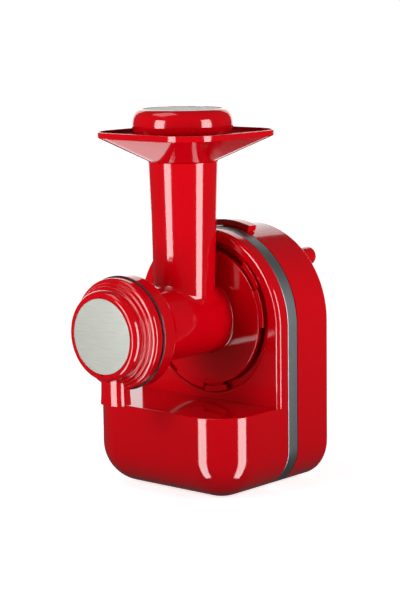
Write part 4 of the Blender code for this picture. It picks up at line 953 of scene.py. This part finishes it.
class DESSERT_OT_chute(MakerOperator, bpy.types.Operator):
    """Build the barrel with its collar, feed tube and bayonet flange, and the seal in front of it"""

    bl_idname = "dessert.chute"
    bl_label = "Chute"

    def tube_width(self, height):
        """Outside radius of the tapered feed tube at a height."""
        return settings().chute.tube_radius - (CHUTE_HIGH.z - height) * 0.0348

    def feed_tube(self):
        """The tube, whose foot spreads into a fillet on the barrel."""
        sizes = settings().chute
        count = 96
        rings = [[] for _ in range(13)]
        for index in range(count):
            angle = 2 * math.pi * index / count
            across, along = math.cos(angle), math.sin(angle)

            def barrel_top(reach):
                side = min(abs(reach * across), sizes.barrel_radius * 0.998)
                return BARREL_Z + math.sqrt(sizes.barrel_radius ** 2 - side ** 2)

            width = self.tube_width(BARREL_Z + sizes.barrel_radius)
            meet = barrel_top(width)
            spread = min(sizes.foot_fillet, (sizes.barrel_radius - width * abs(across)) * 0.62)
            rise = sizes.foot_fillet
            wall_point = Vector((self.tube_width(meet + rise), meet + rise))
            corner = Vector((width, meet))
            skin_point = Vector((width + spread, barrel_top(width + spread) + 2 * SLIVER))
            line = [Vector((self.tube_width(CHUTE_HIGH.z) - 0.0004, CHUTE_HIGH.z))]
            line.append(Vector((self.tube_width(CHUTE_HIGH.z), CHUTE_HIGH.z - 0.0004)))
            line.append((wall_point + line[1]) / 2)
            for step in range(7):
                share = step / 6
                rest = 1 - share
                line.append(wall_point * rest ** 2 + corner * 2 * share * rest + skin_point * share ** 2)
            under = skin_point - Vector((0.0006, 0.0009))
            line.append(under)
            line.append(Vector((width - 0.001, BARREL_Z + sizes.bore_radius * 0.35)))
            line.append(Vector((width * 0.5, BARREL_Z + sizes.bore_radius * 0.3)))
            for ring, point in zip(rings, line):
                ring.append((TUBE[0] + point.x * across, TUBE[1] + point.x * along, point.y))
        return drawn("feed_tube", rings)

    def lug(self, number):
        """One lug on the flange's edge, with the hook that runs under its tab."""
        sizes = settings().chute
        edge = CHUTE_HIGH.x
        inside = sizes.flange_radius - 0.005
        start = -3.5 + number * 120.0
        front = CHUTE_HIGH.y - 0.0075 + JOIN_GAP
        lug = swung("lug", (inside, front), (edge, CHUTE_HIGH.y), 0.0005, BARREL, start, 30.0, 16)
        hook = swung(
            "hook", (inside + JOIN_GAP, CHUTE_HIGH.y - 0.0028), (edge - JOIN_GAP, CHUTE_HIGH.y - 0.0002),
            0.0003, BARREL, start + 28.0, 20.0, 12)
        join(lug, hook)
        return lug

    def build(self):
        sizes = settings().chute
        front = CHUTE_LOW.y
        collar_rear = front + sizes.collar_length
        neck_rear = collar_rear + sizes.neck_length
        flange_rear = CHUTE_HIGH.y - 0.002
        flange_front = flange_rear - sizes.flange_thickness
        outline = [
            (sizes.collar_bore + 0.0005, front, 0.0),
            (sizes.collar_radius, front, 0.0007),
            (sizes.collar_radius, collar_rear - 0.003, 0.003),
            (sizes.collar_radius - 0.0035, collar_rear + 0.0005, 0.002),
            (sizes.barrel_radius + 0.0065, neck_rear - 0.0095, 0.006),
            (sizes.barrel_radius, neck_rear - 0.002, 0.008),
            (sizes.barrel_radius, flange_front, 0.0018),
            (sizes.flange_radius, flange_front, 0.0007),
            (sizes.flange_radius, flange_rear, 0.0004),
            (0.012, flange_rear, 0.0),
        ]
        piece = turned("chute", filleted(outline, 7), BARREL, segments=160)
        join(piece, self.feed_tube())
        join(piece, *[self.lug(number) for number in range(3)])
        bore_end = flange_front - 0.002
        bore = filleted([
            (sizes.collar_bore, front - 0.004, 0.0),
            (sizes.collar_bore, collar_rear + 0.001, 0.003),
            (sizes.bore_radius, neck_rear - 0.004, 0.004),
            (sizes.bore_radius, bore_end, 0.001),
            (0.008, bore_end, 0.0),
        ])
        above = CHUTE_HIGH.z + 0.004
        tube_bore = [
            (self.tube_width(BARREL_Z) - sizes.tube_wall, BARREL_Z),
            (self.tube_width(above) - sizes.tube_wall, above),
        ]
        low, high = (0.0574, flange_rear - 0.0032), (0.0626, CHUTE_HIGH.y + 0.003)
        groove = swung("groove", low, high, 0.0008, BARREL, 87.5, 30.0, 20)
        cut(
            piece,
            turned("bore", bore, BARREL, segments=160),
            turned("tube_bore", tube_bore, TUBE, "Z", 96),
            bored("spindle_way", SPINDLE_WAY, bore_end - 0.004, CHUTE_HIGH.y + 0.004, BARREL, 40),
            groove,
        )
        weld(piece, SLIVER / 4)
        place_piece(piece, "chute", "gloss red ABS", "chute_housing")
        inner = sizes.collar_bore - 0.0005
        outer = SEAL_HIGH.x
        waist = (SEAL_LOW.y + SEAL_HIGH.y) / 2
        lips = filleted([
            (inner, waist, 0.0), (inner, SEAL_LOW.y, 0.0002), (outer, SEAL_LOW.y, 0.0005),
            (outer - 0.0006, waist, 0.0002), (outer, SEAL_HIGH.y, 0.0005), (inner, SEAL_HIGH.y, 0.0002),
            (inner, waist, 0.0),
        ], 4)
        seal = turned("seal", lips, BARREL, segments=160)
        place_piece(seal, "chute", "silicone seal", "cap_seal")


class DESSERT_OT_front_cap(MakerOperator, bpy.types.Operator):
    """Build the stepped front cap with its spout, and the brushed disc let into it"""

    bl_idname = "dessert.front_cap"
    bl_label = "Front Cap and Spout"

    def spout_ring(self, height, grow, depth_grow, corner, steps=8):
        """A rounded rectangle for the spout, with evenly divided sides and a gently bowed front."""
        sizes = settings().cap
        half_x = sizes.spout_width / 2 + grow
        half_y = sizes.spout_depth / 2 + depth_grow
        centre_y = CAP_LOW.y + 0.0065 + sizes.spout_depth / 2
        arcs = corner_arcs(half_x, half_y, corner, steps)
        outline = []
        for arc, following in zip(arcs, arcs[1:] + arcs[:1]):
            outline += arc
            (last_x, last_y), (next_x, next_y) = arc[-1], following[0]
            outline += [
                (last_x + (next_x - last_x) * step / steps, last_y + (next_y - last_y) * step / steps)
                for step in range(1, steps)
            ]
        ring = []
        for x, y in outline:
            bow = FRONT_BOW * (x / half_x) ** 2 if y < 0 else 0.0
            waist = SIDE_WAIST * min(0.0, y / half_y) ** 2
            ring.append((x * (1 - waist / half_x), centre_y + y + bow * min(1.0, -y / half_y * 1.5), height))
        return ring

    def spout(self):
        sizes = settings().cap
        top, bottom = BARREL_Z - sizes.rim_radius / 2, CAP_LOW.z
        flare = sizes.spout_flare
        levels = (
            (top, 0.0, 0.0), (bottom + 0.016, 0.0, 0.0), (bottom + 0.008, flare * 0.3, flare * 0.2),
            (bottom + 0.003, flare * 0.8, flare * 0.5), (bottom + 0.0006, flare, flare * 0.6),
            (bottom + 0.0002, flare - 0.0002, flare * 0.6 - 0.0002),
            (bottom, flare - 0.0007, flare * 0.6 - 0.0007),
        )
        return drawn("spout", [self.spout_ring(z, grow, deep, 0.0026) for z, grow, deep in levels])

    def build(self):
        sizes = settings().cap
        front = CAP_LOW.y
        rim, base = sizes.rim_radius, sizes.base_radius
        seat = front + 0.0255
        spigot = 0.04525
        step_one, step_two = front + 0.0094, front + 0.0132
        ring = []
        reach = rim + 0.0004 - sizes.disc_radius - 0.0022
        for step in range(1, 13):
            angle = math.radians(8.0 * step)
            ring.append((
                rim + 0.0004 - reach * (1 - math.sin(angle)), front + 0.0070 * (1 - math.cos(angle))))
        outline = [
            (0.010, front + sizes.disc_thickness, 0.0),
            (sizes.disc_radius + JOIN_GAP, front + sizes.disc_thickness, 0.0),
            (sizes.disc_radius + JOIN_GAP, front + 0.0002, 0.0002),
            (sizes.disc_radius + 0.0016, front, 0.0010),
            *[(radius, station, 0.0) for radius, station in ring],
            (rim + 0.0004, step_one, 0.0006),
            (rim + 0.0030, step_one + 0.0003, 0.0012),
            (rim + 0.0034, step_two, 0.0006),
            (rim + 0.0056, step_two + 0.0003, 0.0012),
            (rim + 0.0060, step_two + 0.0030, 0.0006),
            (rim + 0.0080, step_two + 0.0034, 0.0030),
            (base, seat - 0.0070, 0.0060),
            (base, seat, 0.0006),
            (spigot, seat, 0.0),
            (spigot, CAP_HIGH.y, 0.0006),
            (0.020, CAP_HIGH.y, 0.0),
        ]
        piece = turned("cap", filleted(outline, 7), BARREL, segments=160)
        join(piece, self.spout())
        inner_front = front + 0.0037
        hollow = filleted([
            (0.010, inner_front, 0.0),
            (rim - 0.0045, inner_front, 0.002),
            (rim - 0.0025, front + 0.0085, 0.002),
            (spigot - 0.0025, seat - 0.004, 0.003),
            (spigot - 0.0025, CAP_HIGH.y + 0.004, 0.0),
        ])
        bore_levels = ((BARREL_Z - rim / 2, -0.0022), (CAP_LOW.z - 0.004, -0.0019))
        bore = drawn("spout_bore", [self.spout_ring(z, grow, grow, 0.0016) for z, grow in bore_levels])
        cut(piece, turned("hollow", hollow, BARREL, segments=96), bore)
        for side in (-1, 1):
            reach = BARREL_Z + side * (sizes.disc_radius + 0.0005)
            low, high = (-0.0011, front - 0.001, reach - 0.0012), (0.0011, front + 0.0011, reach + 0.0012)
            cut(piece, rounded_block("notch", low, high, 0.0005, 1, 3))
        weld(piece, SLIVER / 4)
        place_piece(piece, "cap", "gloss red ABS", "front_cap")
        disc_rear = front + sizes.disc_thickness - JOIN_GAP
        profile = filleted([
            (sizes.disc_radius - 0.003, disc_rear, 0.0), (sizes.disc_radius, disc_rear, 0.0),
            (sizes.disc_radius, front, 0.0007), (0.006, front, 0.0),
        ], 4)
        disc = turned("cap_plate", profile, BARREL, segments=160)
        place_piece(disc, "cap", "brushed stainless", "cap_disc")


class DESSERT_OT_tray(MakerOperator, bpy.types.Operator):
    """Build the square funnel tray with its rim and its spigot"""

    bl_idname = "dessert.tray"
    bl_label = "Tray"

    def ring(self, share, height, wall, steps=14):
        """A ring between the round tube (share 0) and the square rim (share 1)."""
        sizes = settings().top
        centre_y = TUBE[1] + (TRAY_LOW.y + TRAY_HIGH.y - 2 * TUBE[1]) / 2 * share
        inner = settings().chute.tube_radius + 0.001 - wall
        half = sizes.tray_half - wall
        corner = sizes.tray_corner - wall
        squares, rounds = corner_arcs(half, half, corner, steps), corner_arcs(inner, inner, inner, steps)
        points = []
        for square, round_point in zip(sum(squares, []), sum(rounds, [])):
            point = Vector(round_point).lerp(Vector(square), share)
            points.append((point.x, centre_y + point.y, height))
        return points

    def circle(self, radius, height, steps=14):
        """A round ring with as many points as ring() gives, those where two quarters meet kept just apart."""
        points = []
        for quarter in range(4):
            for step in range(steps + 1):
                angle = math.radians(90 * quarter + 90 * step / steps + (0.02 if step == 0 else 0.0))
                points.append((radius * math.cos(angle), TUBE[1] + radius * math.sin(angle), height))
        return points

    def build(self):
        sizes = settings().top
        chute = settings().chute
        seat = CHUTE_HIGH.z + JOIN_GAP
        rim_top, rim_low = TRAY_HIGH.z, TRAY_HIGH.z - sizes.tray_rim
        mouth = chute.tube_radius - chute.tube_wall - 0.0012
        wall = sizes.tray_wall
        edge = 0.0005
        rings = [
            self.circle(mouth - 0.0004, TRAY_LOW.z),
            self.circle(mouth, seat - 0.0004),
            self.circle(mouth + 0.0004, seat),
            self.ring(0.0, seat, edge),
            self.ring(0.0, seat + edge, 0.0),
            self.ring(0.5, (seat + rim_low) / 2 + 0.0004, 0.0),
            self.ring(0.97, rim_low - 0.0004, 0.0),
            self.ring(1.0, rim_low + 0.0004, 0.0),
            self.ring(1.0, rim_top - edge, 0.0),
            self.ring(1.0, rim_top - edge * 0.3, edge * 0.3),
            self.ring(1.0, rim_top, edge),
            self.ring(1.0, rim_top, wall - edge),
            self.ring(1.0, rim_top - edge * 0.3, wall - edge * 0.3),
            self.ring(1.0, rim_top - edge, wall),
            self.ring(1.0, rim_low + 0.0018, wall),
            self.ring(0.965, rim_low + 0.0006, wall),
            self.ring(0.5, (seat + rim_low) / 2 + wall * 0.9, wall),
            self.ring(0.03, seat + wall + 0.0006, wall - 0.0005),
            self.circle(mouth - 0.0016, seat + wall),
            self.circle(mouth - 0.0024, seat + wall - 0.0008),
            self.circle(mouth - 0.0028, TRAY_LOW.z),
        ]
        piece = drawn("tray", rings, closed=True)
        place_piece(piece, "tray", "gloss red ABS", "hopper_tray")


class DESSERT_OT_pusher(MakerOperator, bpy.types.Operator):
    """Build the pusher with its rounded knob, and the brushed inlay on top"""

    bl_idname = "dessert.pusher"
    bl_label = "Pusher"

    def build(self):
        sizes = settings().top
        bottom, top = PUSHER_LOW.z, PUSHER_HIGH.z
        seat = bottom + PUSHER_STEM
        low = top - sizes.knob_height
        floor = top - 0.0018
        hollow = sizes.stem_radius - 0.0025
        widest = top - sizes.knob_height * 0.52
        side = []
        reach = sizes.knob_radius - sizes.inlay_radius - 0.0012
        for step in range(13):
            angle = math.radians(7.5 * step)
            side.append((
                sizes.knob_radius - reach * (1 - math.sin(angle)), widest + (top - widest) * math.cos(angle)))
        for step in range(1, 13):
            angle = math.radians(7.5 * step)
            side.append((
                sizes.knob_radius - UNDER_KNOB * (1 - math.cos(angle)),
                widest - (widest - low) * math.sin(angle),
            ))
        profile = filleted([
            (0.004, bottom, 0.0),
            (sizes.stem_radius, bottom, 0.002),
            (sizes.stem_radius, seat, 0.0),
            (sizes.stem_radius + 0.006, seat, 0.0008),
            (sizes.stem_radius + 0.006, low, 0.001),
            *[(radius, height, 0.0) for radius, height in reversed(side)],
            (sizes.inlay_radius + 0.0006, top, 0.0),
            (sizes.inlay_radius + JOIN_GAP, floor, 0.0),
            (hollow, floor, 0.0),
            (hollow, bottom + 0.0025, 0.001),
            (0.004, bottom + 0.0025, 0.0),
        ], 9)
        piece = turned("pusher_body", profile, TUBE, "Z", 144)
        place_piece(piece, "plunger", "gloss red ABS", "pusher")
        low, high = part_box("pusher_inlay")
        plate = filleted([
            (sizes.inlay_radius - 0.002, low.z, 0.0), (sizes.inlay_radius, low.z, 0.0),
            (sizes.inlay_radius, high.z, 0.0004), (0.006, high.z, 0.0),
        ], 4)
        inlay = turned("knob_plate", plate, TUBE, "Z", 144)
        place_piece(inlay, "plunger", "brushed stainless", "pusher_inlay")


class DESSERT_OT_carried_parts(MakerOperator, bpy.types.Operator):
    """Give the working parts and small fittings that keep their own shape their finishes"""

    bl_idname = "dessert.carried_parts"
    bl_label = "Working Parts"

    def build(self):
        finishes = {
            "grained graphite ABS": "base_cover switch_bezel power_rocker motor_cradle motor_fan",
            "satin nylon": "motor_end_plate idler_gear output_gear auger cutter_cone",
            "zinc-plated steel":
                "motor_can gear_plate_front gear_plate_rear gear_post_1 gear_post_2 gear_post_3 gear_post_4",
            "ground steel":
                "motor_shaft idler_pin drive_spindle latch_spring"
                " cutter_blade_1 cutter_blade_2 cutter_blade_3",
            "stacked laminations": "motor_stator",
            "wound copper": "motor_rotor",
            "sintered bronze": "motor_pinion spindle_bush_front spindle_bush_rear",
        }
        for name, nodes in finishes.items():
            for node in nodes.split():
                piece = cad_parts[node]
                piece.data.materials.clear()
                piece.data.materials.append(finish(name))


STRIP_Z = -0.5
STRIP_SIZE = (0.66, 3.2)
STRIP_POWER = 57.0
ROOM_GLOW = 0.06
WHITE_GLOW = 1.05
CAMERA_PLACE = (1.2006, -1.3584, 0.4572)
CAMERA_AIM = (0.0780, -0.0738, 0.1943)
CAMERA_ROLL = -0.736


class DESSERT_OT_stage(MakerOperator, bpy.types.Operator):
    """Set up the pale floor, the soft studio lights, the surroundings and the camera"""

    bl_idname = "dessert.stage"
    bl_label = "Studio"

    def floor(self):
        bpy.ops.object.select_all(action="DESELECT")
        bpy.ops.mesh.primitive_circle_add(
            vertices=96, radius=0.5, fill_type="NGON", location=(0.0, 0.0, -0.0002))
        plane = started("studio_floor")
        material, tree, shader, place = begin_material("matt white card", IOR=1.45, Emission_Strength=0.72)
        shader.inputs["Emission Color"].default_value = linear("FFFFFF")
        mottle(tree, shader, place, linear("F7F7F6"), linear("F2F2F1"), 60.0)
        fibre = add_node(tree, "ShaderNodeTexNoise", {"Scale": per_mm(0.8), "Detail": 3.0}, {"Vector": place})
        roughen(tree, shader, fibre.outputs["Fac"], 0.8, 0.9)
        plane.data.materials.append(material)
        plane.visible_glossy = plane.visible_diffuse = False

    def card(self, name, place, turn, size, glow):
        """A white card that shows only as a reflection: on the table or behind the object."""
        bpy.ops.object.select_all(action="DESELECT")
        bpy.ops.mesh.primitive_plane_add(size=1.0, location=place, rotation=turn)
        bpy.context.object.scale = (*size, 1.0)
        card = started(name)
        material, tree, shader, where = begin_material(f"{name} paper", Emission_Strength=glow)
        shader.inputs["Emission Color"].default_value = linear("FFFFFF")
        mottle(tree, shader, where, linear("F4F4F4"), linear("EFEFEF"), 40.0)
        card.data.materials.append(material)
        card.visible_camera = card.visible_diffuse = card.visible_shadow = False

    def softbox(self, name, place, aim, width, height, power):
        """A soft rectangular light, which the camera doesn't see."""
        light = bpy.data.lights.new(name, "AREA")
        light.shape = "RECTANGLE"
        light.size, light.size_y = width, height
        light.energy = power
        lamp = bpy.data.objects.new(name, light)
        bpy.context.scene.collection.objects.link(lamp)
        lamp.location = place
        lamp.rotation_euler = (Vector(aim) - Vector(place)).to_track_quat("-Z", "Y").to_euler()
        lamp.visible_camera = False

    def surroundings(self):
        """White where the camera looks past the object, and a dim grey room for everything else."""
        world = bpy.data.worlds.new("white studio")
        bpy.context.scene.world = world
        world.use_nodes = True
        tree = world.node_tree
        tree.nodes.clear()
        room = add_node(tree, "ShaderNodeBackground", {"Color": linear("FFFFFF"), "Strength": ROOM_GLOW})
        white = add_node(tree, "ShaderNodeBackground", {"Color": linear("FFFFFF"), "Strength": WHITE_GLOW})
        path = add_node(tree, "ShaderNodeLightPath")
        mix = add_node(tree, "ShaderNodeMixShader", {}, {
            0: path.outputs["Is Camera Ray"], 1: room.outputs["Background"], 2: white.outputs["Background"],
        })
        add_node(tree, "ShaderNodeOutputWorld", {}, {"Surface": mix.outputs["Shader"]})

    def camera(self):
        """A long lens from the front right, a little above the object."""
        lens = bpy.data.cameras.new("studio_camera")
        lens.lens = 118.0
        lens.sensor_width = 36.0
        lens.clip_end = 50.0
        camera = bpy.data.objects.new("studio_camera", lens)
        bpy.context.scene.collection.objects.link(camera)
        place, aim = Vector(CAMERA_PLACE), Vector(CAMERA_AIM)
        level = (aim - place).to_track_quat("-Z", "Y").to_matrix().to_4x4()
        roll = Matrix.Rotation(math.radians(CAMERA_ROLL), 4, "Z")
        camera.matrix_world = Matrix.Translation(place) @ level @ roll
        bpy.context.scene.camera = camera

    def build(self):
        self.floor()
        for name, across, along in (("left_strip", -0.31, -1.57), ("right_strip", 1.59, 0.20)):
            self.softbox(name, (across, along, STRIP_Z), (0.0, 0.0, STRIP_Z), *STRIP_SIZE, STRIP_POWER)
        self.softbox("top_box", (-0.4, -0.5, 1.6), (0.0, 0.0, 0.2), 0.8, 0.8, 4.0)
        self.card("low_card", (-0.25, 0.23, 0.115), (0.0, 0.0, 0.0), (0.30, 0.42), 1.2)
        backdrop_turn = (math.radians(90), 0.0, math.radians(41))
        self.card("back_card", (-1.30, 1.49, 0.80), backdrop_turn, (2.6, 1.7), 1.0)
        self.surroundings()
        self.camera()
        bpy.context.scene.view_settings.view_transform = "Standard"


OPERATORS = (
    DESSERT_OT_front_shell,
    DESSERT_OT_rear_shell,
    DESSERT_OT_trim_band,
    DESSERT_OT_back_fittings,
    DESSERT_OT_release_tab,
    DESSERT_OT_bayonet_ring,
    DESSERT_OT_chute,
    DESSERT_OT_front_cap,
    DESSERT_OT_tray,
    DESSERT_OT_pusher,
    DESSERT_OT_carried_parts,
    DESSERT_OT_stage,
)


class DESSERT_PT_maker(bpy.types.Panel):
    """Lists the settings and the pieces in building order"""

    bl_idname = "DESSERT_PT_maker"
    bl_label = "Dessert Maker"
    bl_space_type = "VIEW_3D"
    bl_region_type = "UI"
    bl_category = "Dessert Maker"

    def draw(self, context):
        chosen = context.scene.dessert_maker
        for group in (chosen.body, chosen.chute, chosen.cap, chosen.top, chosen.colours):
            box = self.layout.box()
            for name in group.__annotations__:
                box.prop(group, name)
        for operator in OPERATORS:
            self.layout.operator(operator.bl_idname)


CLASSES = (
    BodySizes, ChuteSizes, CapSizes, TopSizes, Colours, DessertMakerSettings, *OPERATORS, DESSERT_PT_maker,
)


def register():
    for entry in CLASSES:
        bpy.utils.register_class(entry)
    bpy.types.Scene.dessert_maker = bpy.props.PointerProperty(type=DessertMakerSettings)


def unregister():
    del bpy.types.Scene.dessert_maker
    for entry in reversed(CLASSES):
        bpy.utils.unregister_class(entry)


def main():
    register()
    for operator in OPERATORS:
        getattr(bpy.ops.dessert, operator.bl_idname.split(".")[1])()


if __name__ == "__main__":
    main()
